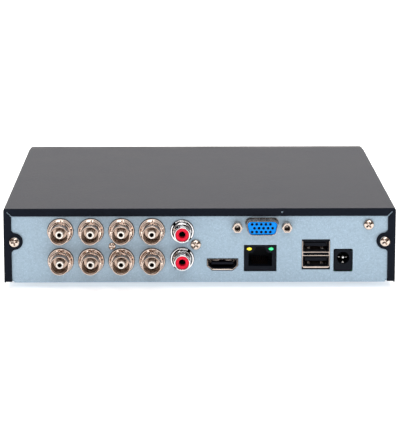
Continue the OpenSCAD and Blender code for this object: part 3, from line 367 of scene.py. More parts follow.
def piece(name, parts, slot, nodes=(), seat=None, body="root", finish=None, sharp=SHARP):
    """Makes a piece of one shape or a list, rides it on its body and lets it stand for its nodes.
    Shapes without a seat are in their place already."""
    bm = joined(parts) if isinstance(parts, list) else parts
    if seat:
        placed(bm, seat)
    bmesh.ops.remove_doubles(bm, verts=bm.verts, dist=1e-8)
    bmesh.ops.recalc_face_normals(bm, faces=bm.faces)
    mesh = bpy.data.meshes.new(name)
    bm.to_mesh(mesh)
    bm.free()
    for polygon in mesh.polygons:
        polygon.use_smooth = True
    mesh.set_sharp_from_angle(angle=sharp)
    mesh.materials.append(shared(finish or slot))
    made = bpy.data.objects.new(name, mesh)
    bpy.context.scene.collection.objects.link(made)
    level = made.modifiers.new("level faces", "WEIGHTED_NORMAL")
    level.mode = "FACE_AREA"
    level.weight = 100
    level.keep_sharp = True
    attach(made, body)
    if nodes:
        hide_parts(*nodes)


def refined(node, name, slot, radius=None, body="root", sharp=SHARP):
    """A piece with the node's own shape and edges broken by a radius in millimetres"""
    bm = bevel_sharp(copy_of(node), sizes().edge if radius is None else radius * MM)
    piece(name, bm, slot, [node], body=body, sharp=sharp)


# ---------------------------------------------------------------- finishes

def add(tree, kind, inputs=None, **settings):
    made = tree.nodes.new("ShaderNode" + kind)
    for key, value in settings.items():
        setattr(made, key, value)
    for key, value in (inputs or {}).items():
        if isinstance(value, bpy.types.NodeSocket):
            tree.links.new(value, made.inputs[key])
        else:
            made.inputs[key].default_value = value
    return made


def surface(name, colour, metallic=0.0, roughness=0.45, tone=0.12, spread=0.08, patch=45.0, grain=1500.0,
            depth=0.00002, stretch=(1, 1, 1), coords="Object", coat=0.0, specular=0.5):
    """A finish whose tone, gloss and relief vary with slow patches and a fine grain. stretch draws them out"""
    colour = getattr(colours(), colour) if isinstance(colour, str) else colour
    material = bpy.data.materials.new(name)
    material.use_nodes = True
    tree = material.node_tree
    shader = tree.nodes["Principled BSDF"]
    place = add(tree, "TexCoord").outputs[coords]
    drawn = add(tree, "Mapping", {"Vector": place, "Scale": stretch}).outputs["Vector"]
    slow = add(tree, "TexNoise", {"Vector": drawn, "Scale": patch, "Detail": 4.0}).outputs["Fac"]
    fine = add(tree, "TexNoise", {"Vector": drawn, "Scale": grain, "Detail": 2.0}).outputs["Fac"]
    both = add(tree, "Math", {0: slow, 1: fine}, operation="ADD").outputs[0]
    shade = add(tree, "MapRange", {"Value": both, "From Min": 0.65, "From Max": 1.35}).outputs[0]
    blend = add(tree, "Mix", {0: shade, 6: (*[c * (1 - tone) for c in colour], 1),
                              7: (*[min(1.0, c * (1 + tone)) for c in colour], 1)}, data_type="RGBA")
    gloss = add(tree, "MapRange", {"Value": both, "From Min": 0.65, "From Max": 1.35,
                                   "To Min": max(0.02, roughness - spread), "To Max": roughness + spread})
    relief = add(tree, "Bump", {"Height": fine, "Strength": 1.0, "Distance": depth})
    tree.links.new(blend.outputs[2], shader.inputs["Base Color"])
    tree.links.new(gloss.outputs[0], shader.inputs["Roughness"])
    tree.links.new(relief.outputs[0], shader.inputs["Normal"])
    shader.inputs["Metallic"].default_value = metallic
    shader.inputs["Coat Weight"].default_value = coat
    shader.inputs["Coat Roughness"].default_value = 0.08
    shader.inputs["Specular IOR Level"].default_value = specular
    return material


def overlay(material, mask, colour, roughness=None, metallic=None):
    """Lays another colour and gloss over a finish where the mask is one"""
    tree = material.node_tree
    shader = tree.nodes["Principled BSDF"]
    for name, value in (("Base Color", (*colour, 1)), ("Roughness", roughness), ("Metallic", metallic)):
        if value is None:
            continue
        target = shader.inputs[name]
        before = target.links[0].from_socket if target.is_linked else target.default_value
        if name == "Base Color":
            after = add(tree, "Mix", {0: mask, 6: before, 7: value}, data_type="RGBA").outputs[2]
        else:
            after = add(tree, "Mix", {0: mask, 2: before, 3: value}).outputs[0]
        tree.links.new(after, target)
    return material


def along(tree, axis):
    """The object's own coordinate along one axis, in metres"""
    place = add(tree, "TexCoord").outputs["Object"]
    return add(tree, "SeparateXYZ", {0: place}).outputs[axis]


def near(tree, value, target, within):
    return add(tree, "Math", {0: value, 1: target, 2: within}, operation="COMPARE").outputs[0]


def every(tree, value, pitch, width):
    """One in a band of the given width, again at every pitch"""
    turn = add(tree, "Math", {0: value, 1: pitch}, operation="PINGPONG").outputs[0]
    return add(tree, "Math", {0: turn, 1: width / 2}, operation="LESS_THAN").outputs[0]


def both_of(tree, first, second):
    return add(tree, "Math", {0: first, 1: second}, operation="MULTIPLY").outputs[0]


def noise_mask(tree, scale, over, stretch=(1, 1, 1)):
    place = add(tree, "TexCoord").outputs["Object"]
    drawn = add(tree, "Mapping", {"Vector": place, "Scale": stretch}).outputs["Vector"]
    noise = add(tree, "TexNoise", {"Vector": drawn, "Scale": scale, "Detail": 2.0}).outputs["Fac"]
    return add(tree, "Math", {0: noise, 1: over}, operation="GREATER_THAN").outputs[0]


def zinc_steel(name):
    """Passivated zinc: crystals about a millimetre across under a fine pale speckle"""
    zinc = colours().panel
    material = surface(name, zinc, metallic=0.25, roughness=0.50, tone=0.14, grain=1000, patch=1700,
                       depth=0.000014)
    tree = material.node_tree
    place = add(tree, "TexCoord").outputs["Object"]
    cells = add(tree, "TexVoronoi", {"Vector": place, "Scale": 900.0, "Randomness": 1.0})
    level = add(tree, "SeparateXYZ", {0: cells.outputs["Color"]}).outputs[0]
    crystal = add(tree, "Math", {0: level, 1: 0.30}, operation="MULTIPLY").outputs[0]
    overlay(material, crystal, [0.82 * c for c in zinc], roughness=0.36)
    return overlay(material, noise_mask(tree, 1500, 0.62), [min(1, 1.16 * c) for c in zinc])


def circuit_board(name):
    """Solder mask with copper runs under it, tinned pads and vias"""
    material = surface(name, "board", roughness=0.32, tone=0.18, patch=120, coat=0.5)
    tree = material.node_tree
    x, y = along(tree, "X"), along(tree, "Y")
    runs_x = both_of(tree, every(tree, y, 0.0011, 0.0007), noise_mask(tree, 95, 0.52, (0.35, 1, 1)))
    runs_y = both_of(tree, every(tree, x, 0.0011, 0.0007), noise_mask(tree, 80, 0.56, (1, 0.35, 1)))
    for runs in (runs_x, runs_y):
        overlay(material, runs, [1.9 * c for c in colours().board])
    vias = both_of(tree, every(tree, x, 0.0016, 0.0006), every(tree, y, 0.0019, 0.0006))
    return overlay(material, both_of(tree, vias, noise_mask(tree, 70, 0.58)), (0.62, 0.58, 0.50), 0.3, 0.9)


def ribbon(name):
    """Flat cable: parallel wires under the sheath, the first one marked red"""
    material = surface(name, (0.70, 0.70, 0.66), roughness=0.5, tone=0.06)
    tree = material.node_tree
    z = along(tree, "Z")
    overlay(material, every(tree, z, 0.0005, 0.00024), (0.52, 0.52, 0.49))
    return overlay(material, near(tree, z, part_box("indicator_cable")[1].z - 0.0005, 0.0005), (0.55, 0.03, 0.03))


def capacitor_sleeve(name):
    """Printed sleeve with a pale negative stripe, and the bare can on top"""
    material = surface(name, (0.012, 0.016, 0.030), roughness=0.3, coat=0.4)
    tree = material.node_tree
    low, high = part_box("capacitors")
    overlay(material, near(tree, along(tree, "Y"), low.y + 0.0012, 0.0012), (0.45, 0.47, 0.5))
    top = add(tree, "Math", {0: along(tree, "Z"), 1: high.z - 0.00045}, operation="GREATER_THAN")
    return overlay(material, top.outputs[0], (0.62, 0.63, 0.65), 0.28, 1.0)


def small_part(name):
    """Dark chip resistors among brown chip capacitors"""
    material = surface(name, (0.030, 0.028, 0.026), roughness=0.4, patch=500)
    return overlay(material, noise_mask(material.node_tree, 160, 0.52), (0.36, 0.24, 0.14))


def lit(name, colour, strength, **look):
    material = surface(name, colour, **look)
    shader = material.node_tree.nodes["Principled BSDF"]
    shader.inputs["Emission Color"].default_value = (*colour, 1)
    shader.inputs["Emission Strength"].default_value = strength
    return material


def lamp(name, colour, strength):
    return lit(name, colour, strength, roughness=0.18, tone=0.2, coat=0.8, patch=700)


def studio_floor(name):
    pale = bpy.context.scene.recorder_stage.floor
    return lit(name, pale, 0.55, roughness=0.9, tone=0.015, patch=6, grain=300, depth=0.00001, specular=0.1)


def plated(name, colour, roughness, tone=0.1):
    """Plated metal with fine marks that run round the turning axis"""
    return surface(name, colour, metallic=1.0, roughness=roughness, tone=tone, spread=0.05, coords="UV",
                   patch=7, grain=60, stretch=(0.02, 1, 1), depth=0.0000015)


def shaded_nickel(name):
    """The jacks' nickel inside their bores, a little darker and warmer"""
    return plated(name, [0.85 * c * warm for c, warm in zip(colours().nickel, (1, 0.93, 0.88))], 0.28, 0.2)


def metal(name, colour, roughness, **look):
    return surface(name, colour, metallic=1.0, roughness=roughness, **look)


# Each finish is its maker, the maker's values in order, and the values that it names.
LOOKS = {
    "black_paint": (surface, ("cover",), dict(
        roughness=0.42, tone=0.25, spread=0.012, grain=950, depth=0.0001, specular=0.05)),
    "zinc_steel": (zinc_steel, (), {}),
    "bezel_plastic": (surface, ((0.0055, 0.0062, 0.0080),), dict(
        roughness=0.48, tone=0.2, grain=2600, depth=0.00003, specular=0.15)),
    "window_plastic": (surface, ((0.003, 0.003, 0.004),), dict(
        roughness=0.09, spread=0.03, specular=0.35, grain=300)),
    "board_green": (circuit_board, (), {}),
    "light_clear": (surface, ((0.60, 0.72, 0.85),), dict(roughness=0.12, coat=1.0, patch=300)),
    "ribbon_white": (ribbon, (), {}),
    "foot_rubber": (surface, ((0.013, 0.013, 0.014),), dict(
        roughness=0.82, tone=0.3, grain=1900, depth=0.00004)),
    "screw_nickel": (plated, ((0.52, 0.44, 0.385), 0.20), {}),
    "standoff_brass": (metal, ((0.72, 0.52, 0.22), 0.3), dict(stretch=(1, 1, 9))),
    "connector_black": (surface, ("plastic",), dict(roughness=0.42, tone=0.25, grain=2200, specular=0.06)),
    "nickel_shell": (plated, ("nickel", 0.16, 0.22), {}),
    "shaded_nickel": (shaded_nickel, (), {}),
    "dielectric_white": (surface, ((0.84, 0.81, 0.76),), dict(roughness=0.4, tone=0.05, patch=400)),
    "contact_gold": (metal, ((0.50, 0.34, 0.12), 0.3), dict(patch=900)),
    "shaded_gold": (surface, ((0.014, 0.007, 0.004),), dict(
        metallic=0.2, roughness=0.5, patch=900, specular=0.1)),
    "bright_chrome": (plated, ("chrome", 0.10, 0.06), {}),
    "insulator_red": (surface, ("red",), dict(roughness=0.34, tone=0.10, patch=500, specular=0.12)),
    "contact_steel": (metal, ((0.62, 0.62, 0.62), 0.25), dict(patch=800)),
    "insert_blue": (surface, ("blue",), dict(roughness=0.38, tone=0.10, patch=500, specular=0.10)),
    "socket_steel": (metal, ((0.44, 0.375, 0.33), 0.25), dict(tone=0.14, patch=350, grain=2400, depth=0.00001)),
    "light_yellow": (lamp, ((1.0, 0.80, 0.02), 0.55), {}),
    "light_green": (lamp, ((0.02, 0.80, 0.25), 0.45), {}),
    "sink_aluminium": (metal, ((0.50, 0.52, 0.55), 0.36), dict(stretch=(1, 0.04, 1))),
    "chip_black": (surface, ((0.016, 0.017, 0.019),), dict(
        roughness=0.55, tone=0.25, grain=5200, depth=0.00001)),
    "capacitor_sleeve": (capacitor_sleeve, (), {}),
    "cell_steel": (metal, ((0.72, 0.72, 0.73), 0.2), dict(stretch=(1, 0.1, 1))),
    "header_ivory": (surface, ((0.78, 0.73, 0.62),), dict(tone=0.06, patch=300)),
    "disk_casting": (surface, ((0.42, 0.43, 0.45),), dict(
        metallic=0.9, roughness=0.48, tone=0.2, grain=1100, depth=0.00006)),
    "disk_cover": (metal, ((0.25, 0.255, 0.262), 0.3), dict(
        tone=0.1, grain=700, stretch=(0.03, 1, 1), depth=0.000008)),
    "platter_mirror": (metal, ((0.82, 0.83, 0.84), 0.05), dict(tone=0.03, spread=0.02, depth=0.0000005)),
    "arm_aluminium": (metal, ((0.60, 0.58, 0.52), 0.34), dict(patch=300)),
    "cable_red": (surface, ((0.42, 0.015, 0.02),), dict(roughness=0.42)),
    "cable_black": (surface, ((0.014, 0.014, 0.016),), dict(tone=0.2)),
    "label_paper": (surface, ((0.46, 0.46, 0.44),), dict(roughness=0.6, tone=0.05, grain=2600)),
    "chip_leads": (metal, ((0.66, 0.66, 0.66), 0.3), dict(patch=900)),
    "small_parts": (small_part, (), {}),
    "studio_floor": (studio_floor, (), {}),
}


def shared(name):
    """The finish of that name, made at its first use. The frame's own flat materials have the bare names"""
    own = "finish_" + name
    if own in bpy.data.materials:
        return bpy.data.materials[own]
    make, values, named = LOOKS[name]
    return make(own, *values, **named)


# ---------------------------------------------------------------- case

class RECORDER_OT_cover(bpy.types.Operator):
    """Folded cover, its rear edge rounded by the bend"""
    bl_idname = "recorder.cover"
    bl_label = "Cover"

    def execute(self, context):
        low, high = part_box("top_cover")
        fold = sizes().fold
        bm = copy_of("top_cover")

        def on_rim(point):
            out = math.hypot(max(abs(point.x) - high.x + fold, 0), max(point.z - high.z + fold, 0))
            return abs(point.y - low.y) < 1e-5 and abs(out - fold) < 1e-5

        rim = [e for e in bm.edges if on_rim(e.verts[0].co) and on_rim(e.verts[1].co)]
        bmesh.ops.bevel(bm, geom=rim, offset=0.55 * MM, offset_type="OFFSET", segments=4, profile=0.5,
                        affect="EDGES", clamp_overlap=True, material=-1)
        piece("cover_sheet", bevel_sharp(bm, sizes().edge), "black_paint", ["top_cover"], body="cover")
        return {"FINISHED"}


class RECORDER_OT_tray(bpy.types.Operator):
    """Zinc-plated tray with the rear panel, its feet and the standoffs under the board"""
    bl_idname = "recorder.tray"
    bl_label = "Tray"

    def execute(self, context):
        refined("base_tray", "tray_sheet", "zinc_steel")
        refined("board_standoffs", "standoffs", "standoff_brass")
        feet = [fitted(place, lambda r, h: [
            (0, 0.8), (0.42 * r, 0.8), (0.46 * r, 0.1), (0.52 * r, 0), (0.82 * r, 0), (0.88 * r, 0.15),
            (0.90 * r, 0.5), (r, h - 0.3), (r, h), (0, h)], 40) for place in boxes_of("rubber_feet")]
        piece("feet", feet, "foot_rubber", ["rubber_feet"])
        return {"FINISHED"}


class RECORDER_OT_front(bpy.types.Operator):
    """Bezel, window, indicator board and its lights"""
    bl_idname = "recorder.front"
    bl_label = "Front"

    def execute(self, context):
        refined("front_bezel", "bezel", "bezel_plastic", 0.25)
        low, high = box("indicator_window")
        piece("window", block(high - low, (low + high) / 2, 0.3, 3), "window_plastic", ["indicator_window"],
              Matrix.Scale(MM, 4))
        refined("indicator_board", "light_board", "board_green", 0.05)
        refined("indicator_lights", "light_guides", "light_clear", 0.1)
        refined("indicator_cable", "flat_cable", "ribbon_white", 0, sharp=math.radians(60))
        return {"FINISHED"}


# ---------------------------------------------------------------- screws

def pan_screw(head, rise, shank, length, turn):
    """A screw with a domed head, a tapered cross recess and a rolled thread. Its head stands on Z = 0"""
    bm = bmesh.new()
    pitch = 0.5
    recess = ring(bm, cross_outline(head * 0.62, head * 0.15), rise)
    before, depth = head * 0.70, rise * 0.94
    here = ring(bm, circle(before, 48), depth)
    filled(bm, recess + here)
    floor = pushed(bm, recess, -rise * 0.85)
    bmesh.ops.scale(bm, vec=(0.40, 0.40, 1), verts=list({v for e in floor for v in e.verts}))
    bmesh.ops.edgeloop_fill(bm, edges=floor)
    steps = [(head * 0.86, rise * 0.80), (head * 0.96, rise * 0.55), (head, rise * 0.30), (head, rise * 0.04),
             (head * 0.98, 0), (shank, 0)]
    turns = max(3, int(length / pitch))
    for i in range(turns):
        level = -length * (i + 0.5) / turns
        steps += [(shank * 0.86, level + 0.1), (shank, level - 0.1)]
    steps.append((shank * 0.7, -length))
    for radius, height in steps:
        here = pushed(bm, here, height - depth)
        spread = radius / before
        bmesh.ops.scale(bm, vec=(spread, spread, 1), verts=list({v for e in here for v in e.verts}))
        before, depth = radius, height
    bmesh.ops.edgeloop_fill(bm, edges=here)
    unwrap_turned(bm)
    return placed(bm, Matrix.Rotation(turn, 4, "Z"))


def screw_in(corners, length, facing, shank=None, turn=None):
    """A screw that fills a box. facing turns it from pointing up"""
    low, high = corners
    centre, out = (low + high) / 2, facing.to_3x3() @ Vector((0, 0, 1))
    reach = abs((high - low).dot(out)) / 2
    head = (high.x - low.x) / 2
    turn = 0.3 + 0.2 * head if turn is None else turn
    screw = pan_screw(head, 2 * reach - length, shank or 0.52 * head, length, turn)
    return placed(screw, seat_at(*(centre - out * (reach - length)), facing))


class RECORDER_OT_screws(bpy.types.Operator):
    """Every screw, with a real cross recess"""
    bl_idname = "recorder.screws"
    bl_label = "Screws"

    def execute(self, context):
        for node, turn in (("cover_screw_left", 8), ("cover_screw_right", 32), ("ground_screw", 40)):
            screw = screw_in(box(node), 6, OUTWARD, 1.45, math.radians(turn))
            piece(node + "_turned", screw, "screw_nickel", [node], body=node)
        small = [screw_in(place, 7, OUTWARD) for place in boxes_of("connector_screws")]
        piece("socket_screws", small, "screw_nickel", ["connector_screws"])
        for node, length, shank, flip in (("board_screws", 4.4, 1.4, 0), ("disk_screws", 7.3, 1.65, math.pi)):
            facing = Matrix.Rotation(flip, 4, "X")
            group = [screw_in(place, length, facing, shank, 0.7 * number)
                     for number, place in enumerate(boxes_of(node))]
            piece(node + "_turned", group, "screw_nickel", [node])
        return {"FINISHED"}


# ---------------------------------------------------------------- rear sockets

def rod(radius, length, centre, sides=24):
    """A short rod along X with broken edges"""
    bm = bmesh.new()
    bmesh.ops.create_cone(bm, cap_ends=True, segments=sides, radius1=radius, radius2=radius, depth=length)
    bevel_sharp(bm, radius * 0.15)
    return placed(bm, Matrix.Translation(centre) @ Matrix.Rotation(math.pi / 2, 4, "Y"))


def split_ring(outer, inner, gap, turn, low, high):
    """Two halves of a flat ring, with a slot between them at an angle and opposite it"""
    halves = []
    for start in (turn, turn + 180):
        outline = []
        for radius, way in ((outer, 1), (inner, -1)):
            half = math.degrees(math.asin(gap / 2 / radius))
            outline += arc((0, 0), radius, start + half, start + 180 - half, 32)[::way]
        halves.append(bevel_sharp(plate(outline, [], low, high), 0.22, 3))
    return halves


def video_jack():
    """A bayonet jack's shell: flange, notched cone, shoulder, stepped bore and two lugs"""
    outline = notched_circle(6.1, 0.75, 0.8, 86)
    levels = ((1, 0.9), (1, 1.25), (0.985, 1.4), (0.87, 2.1), (0.80, 2.1), (0.80, 0.9))
    cone = bevel_sharp(lofted([(scaled(outline, share), height) for share, height in levels]), 0.06)
    barrel = turned([
        (4.03, -4.2), (5.0, -4.2), (5.0, -1.2), (6.55, -1.2), (6.55, 0.75), (6.45, 0.95), (6.3, 1.05), (5.6, 1.1),
        (5.25, 1.1), (5.25, 3.6), (5.18, 3.75), (5.05, 3.8), (4.8, 3.8), (4.8, 11.5), (4.77, 11.75), (4.7, 11.92),
        (4.58, 12.0), (4.48, 12.0), (4.40, 11.94), (4.15, 11.1), (4.09, 10.9), (4.09, 2.6), (4.03, 2.55)])
    lugs = [rod(1.0, 1.3, (side * 4.85, 0, 7.4)) for side in (-1, 1)]
    return unwrap_turned(joined([cone, barrel, *lugs]))


class RECORDER_OT_video_jacks(bpy.types.Operator):
    """Eight video jacks with their insulators, contacts and block"""
    bl_idname = "recorder.video_jacks"
    bl_label = "Video Jacks"

    def execute(self, context):
        bores, insulators, contacts = [], [], []
        for number in range(1, 9):
            node = f"bnc_shell_{number}"
            seat = on_panel(node)
            piece(f"video_jack_{number}", video_jack(), "nickel_shell", [node], seat)
            bores.append(placed(unwrap_turned(turned([
                (4.08, 10.8), (4.08, 2.6), (2.1, 2.6), (2.1, 2.9), (3.5, 3.0), (3.75, 3.3), (3.75, 7.6),
                (3.97, 7.9), (3.97, 10.7)])), seat))
            insulators.append(placed(turned([
                (1.14, -4.1), (4.0, -4.1), (4.0, 2.5), (2.0, 2.5), (2.0, 9.7), (1.95, 9.95), (1.8, 10.15),
                (1.6, 10.2), (1.2, 10.2), (1.14, 10.1)]), seat))
            contacts.append(placed(turned([
                (0, -4.0), (1.08, -4.0), (1.08, 9.3), (1.0, 9.6), (0.92, 9.6), (0.86, 9.4), (0.86, 5.2),
                (0, 5.0)], 32), seat))
        piece("video_bores", bores, "nickel_shell", finish="shaded_nickel")
        piece("video_insulators", insulators, "dielectric_white", ["bnc_insulators"])
        piece("video_contacts", contacts, "contact_gold", ["bnc_contacts"], finish="shaded_gold")
        refined("bnc_block", "video_block", "connector_black", 0.3)
        return {"FINISHED"}


class RECORDER_OT_phono_jacks(bpy.types.Operator):
    """Two phono jacks with slotted collars and red insulators"""
    bl_idname = "recorder.phono_jacks"
    bl_label = "Phono Jacks"

    def execute(self, context):
        insulators, contacts = [], []
        for place, turn in (("upper", 135), ("lower", 52)):
            node = "rca_shell_" + place
            seat = on_panel(node)
            collars = split_ring(5.9, 5.05, 1.5, turn, -0.9, 1.4)
            barrel = turned([(3.44, -3.2), (4.5, -3.2), (4.5, -0.8), (4.65, -0.8), (4.65, 1.7), (4.45, 1.9),
                             (4.45, 2.6), (4.3, 2.8), (4.15, 2.85), (4.15, 9.5), (4.08, 9.8), (3.9, 9.96),
                             (3.75, 10.0), (3.62, 10.0), (3.5, 9.95), (3.44, 9.8)])
            shell = unwrap_turned(joined([*collars, barrel]))
            piece("phono_shell_" + place, shell, "bright_chrome", [node], seat)
            insulators.append(placed(turned([
                (1.7, -3.1), (3.4, -3.1), (3.4, 9.3), (3.3, 9.5), (1.95, 9.5), (1.78, 9.4),
                (1.7, 9.15)]), seat))
            contacts.append(placed(turned([
                (0, -3.1), (1.62, -3.1), (1.62, 5.9), (1.5, 6.0), (1.36, 6.0), (1.3, 5.8), (1.3, -0.2),
                (0, -0.2)], 32), seat))
        piece("phono_insulators", insulators, "insulator_red", ["rca_insulators"])
        piece("phono_contacts", contacts, "contact_steel", ["rca_contacts"], finish="shaded_gold")
        refined("rca_block", "phono_block", "connector_black", 0.3)
        return {"FINISHED"}


class RECORDER_OT_monitor_socket(bpy.types.Operator):
    """Monitor socket with a flared shell, a blue insert of fifteen holes and two jack posts"""
    bl_idname = "recorder.monitor_socket"
    bl_label = "Monitor Socket"

    def execute(self, context):
        seat = on_panel("vga_insert")
        width, height, face = 16.3, 8.0, 5.4

        def d_loop(inset, radius, out):
            return d_outline(width - 2 * inset, height - 2 * inset, radius), out

        shell = lofted([d_loop(*loop) for loop in (
            (-0.3, 2.9, -1.2), (-0.3, 2.9, 0.35), (-0.15, 2.8, 0.75), (0.12, 2.6, 1.15), (0.2, 2.5, 5.7),
            (0.27, 2.45, 5.93), (0.37, 2.4, 6.0), (0.48, 2.3, 5.9), (0.55, 2.2, 5.6), (0.55, 2.2, -1.2))])
        posts = [(side * 12.495, 0) for side in (-1, 1)]
        back = plate(round_rect(30.8, 12, 1.5, centre=(0, -0.4)),
                     [circle(1.6, 24, spot) for spot in posts] + [d_loop(0.6, 1.9, 0)[0]], -1.7, -1.2)
        piece("monitor_shell", [shell, back], "socket_steel", ["vga_shell"], seat)
        pins = [((i + (0.25 if row == 0 else -0.25)) * 2.29, row * 1.98)
                for row in (-1, 0, 1) for i in range(-2, 3)]
        holes = [(circle(0.72, 14, spot), 4.4) for spot in pins]
        insert = bevel_sharp(socket(d_outline(width - 1.5, height - 1.7, 1.5), holes, 7), 0.07, 1)
        piece("monitor_insert", shifted(insert, z=face), "insert_blue", ["vga_insert"], seat)
        sleeves = [shifted(turned([(0, -4), (0.68, -4), (0.68, -0.45), (0.6, -0.4), (0.42, -0.55), (0.36, -1.5),
                                   (0, -1.5)], 14), *spot, face) for spot in pins]
        piece("monitor_contacts", sleeves, "contact_gold", seat=seat, finish="shaded_gold")
        nuts, threads = [], []
        hexagon = circle(2.4 / math.cos(math.radians(30)), 6)
        for spot in posts:
            nut = bevel_sharp(socket(hexagon, [(circle(1.42, 24), 4.6)], face), 0.28)
            shank = turned([(0, -6), (1.2, -6), (1.4, -5.8), (1.4, 0.1), (0, 0.1)], 24)
            nuts.append(shifted(joined([shifted(nut, z=face), shank]), *spot))
            thread = [(1.25 if i % 2 else 1.41, 4.8 - 0.3 * i) for i in range(14)]
            threads.append(shifted(turned([(1.1, 4.9), *thread, (1.1, 0.9)], 24), *spot))
        piece("jack_posts", nuts, "socket_steel", ["vga_jack_posts"], seat)
        piece("post_threads", threads, "socket_steel", seat=seat, finish="shaded_gold")
        refined("vga_riser", "monitor_body", "connector_black", 0.2)
        return {"FINISHED"}


class RECORDER_OT_hdmi_socket(bpy.types.Operator):
    """HDMI socket: thin shell with spring tabs, tongue and nineteen contacts"""
    bl_idname = "recorder.hdmi_socket"
    bl_label = "HDMI Socket"

    def execute(self, context):
        seat = on_panel("hdmi_shell")
        width, height, back = 15.2, 5.6, -11.5

        def inner(inset):
            """Set in from the outside, and further at the bottom than at the top"""
            return [(x, y + 0.35 * inset) for x, y in hdmi_outline(width, height, -inset)]

        outer, wall, shade_lining = inner(0), inner(0.34), inner(0.66)
        shell = lofted([(outer, back), (outer, 0.15), (inner(0.05), 0.28), (inner(0.20), 0.30), (wall, 0.1),
                        (wall, back + 0.4), (scaled(wall, 0.02), back + 0.4), (scaled(outer, 0.02), back)])
        tabs = [block((3.0, 0.25, 4.5), (x, 2.0, -3.6), 0.08) for x in (-3.2, 3.2)]
        piece("hdmi_case", [shell, *tabs], "socket_steel", ["hdmi_shell"], seat)
        # Painted shade: the blade's last loft is a black sleeve over the inside of the steel shell, so that the
        # mouth looks dark.
        blade = [block((11.2, 1.3, 8.3), (0, 0.45, -5.15), 0.25), block((9.4, 4.2, 1.8), (0, 0, -10.15), 0.2),
                 lofted([(inner(0.38), -11), (inner(0.38), -0.1), (shade_lining, -0.3), (shade_lining, -11)])]
        piece("hdmi_blade", blade, "connector_black", ["hdmi_tongue"], seat)
        pins = [pin for count, y in ((10, -0.22), (9, 1.12))
                for pin in contact_row(count, 1.0, (0.45, 0.12, 6.6), (0, y, -5.0))]
        piece("hdmi_pins", pins, "contact_gold", seat=seat, finish="shaded_gold")
        return {"FINISHED"}


class RECORDER_OT_network_socket(bpy.types.Operator):
    """Network socket with its latch notch, sprung wires and two lit indicators"""
    bl_idname = "recorder.network_socket"
    bl_label = "Network Socket"

    def execute(self, context):
        seat = on_panel("rj45_housing", box("main_board")[1].z)
        half = [(5.95, 2.6), (5.95, 9.4), (4.1, 9.4), (3.0, 10.6), (2.2, 12.5)]
        mouth = half + [(-x, y) for x, y in reversed(half)]
        slots = [[(x * 1.38 + side * 5.5, y * 0.86 + 11.35) for x, y in circle(1, 32)] for side in (-1, 1)]
        hollows = [(mouth, 13), *[(slot, 6) for slot in slots]]
        body = bevel_sharp(socket(round_rect(16.2, 13.3, 0.3, 2, (0, 6.65)), hollows, 21.1), 0.12)
        piece("network_housing", shifted(body, z=0.1), "connector_black", ["rj45_housing"], seat)
        for colour in ("yellow", "green"):
            low, high = box("rj45_light_" + colour)
            size, centre = high - low, (low + high) / 2
            lens = turned([(0, 0), (0.5, 0), (0.5, 0.9), (0.46, 0.96), (0.36, 0.985), (0.2, 1.0), (0, 1.0)], 40)
            bmesh.ops.scale(lens, vec=(0.86 * size.x, 0.74 * size.z, size.y), verts=lens.verts)
            piece("network_light_" + colour, lens, "light_" + colour, ["rj45_light_" + colour],
                  seat_at(centre.x, high.y, centre.z, OUTWARD))
        lean = Matrix.Rotation(math.radians(16), 4, "X")
        wires = [shifted(placed(block((0.42, 0.3, 8), (0, 0, -4), 0.1), lean), (i - 3.5) * 1.02, 2.9, -4)
                 for i in range(8)]
        piece("network_wires", wires, "contact_gold", ["rj45_contacts"], seat, finish="shaded_gold")
        return {"FINISHED"}


class RECORDER_OT_usb_sockets(bpy.types.Operator):
    """Two stacked USB sockets with rolled lips, springs and tongues"""
    bl_idname = "recorder.usb_sockets"
    bl_label = "USB Sockets"

    def execute(self, context):
        seat = on_panel("usb_shell", box("usb_shell")[0].z)
        mouths = [(round_rect(13.4, 5.5, 0.3, 3, (0, up)), 12) for up in (4.15, 11.75)]
        band = (round_rect(13.1, 1.4, 0.2, 2, (0, 7.95)), 2.2)
        outer = [(-6.2, 0.7), (6.2, 0.7), (6.95, 1.4), (6.95, 14.55), (6.8, 14.7), (-6.8, 14.7), (-6.95, 14.55),
                 (-6.95, 1.4)]
        shell = bevel_sharp(socket(outer, [*mouths, band], 17.2), 0.1)
        piece("usb_case", shifted(shell, z=0.2), "socket_steel", ["usb_shell"], seat)
        # Painted shade: black sleeves cover the steel inside each port, so that the mouths look dark. The first one
        # is a thin black sleeve round the outside of the shell.
        shade_liners = [plate(round_rect(14, 15.2, 0.3, 2, (0, 7.6)), [outer], -16, 0)]
        tongues, pins, springs = [], [], []
        for up in (4.15, 11.75):
            loop, small = (round_rect(*size, 3, (0, up)) for size in ((13.3, 5.4, 0.3), (12.3, 4.8, 0.25)))
            shade_liners.append(lofted([(loop, -11.9), (loop, -0.1), (small, -0.3), (small, -11.9)]))
            tongues.append(block((11.2, 1.8, 11), (0, up + 0.85, -6.5), 0.25))
            pins += contact_row(4, 2.3, (1.1, 0.12, 8), (0, up - 0.09, -6))
            springs += contact_row(2, 6.6, (1.5, 0.3, 4), (0, up - 2.17, -7))
        tongues += [block((12.9, 1.6, 0.6), (0, 7.95, -1.4), 0.1, 1),
                    block((14, 0.62, 0.5), (0, 14.8, 0.05), 0.1)]
        piece("usb_blades", tongues + shade_liners, "connector_black", ["usb_tongues"], seat)
        piece("usb_pins", pins, "contact_gold", seat=seat, finish="shaded_gold")
        piece("usb_springs", springs, "contact_steel", seat=seat)
        return {"FINISHED"}


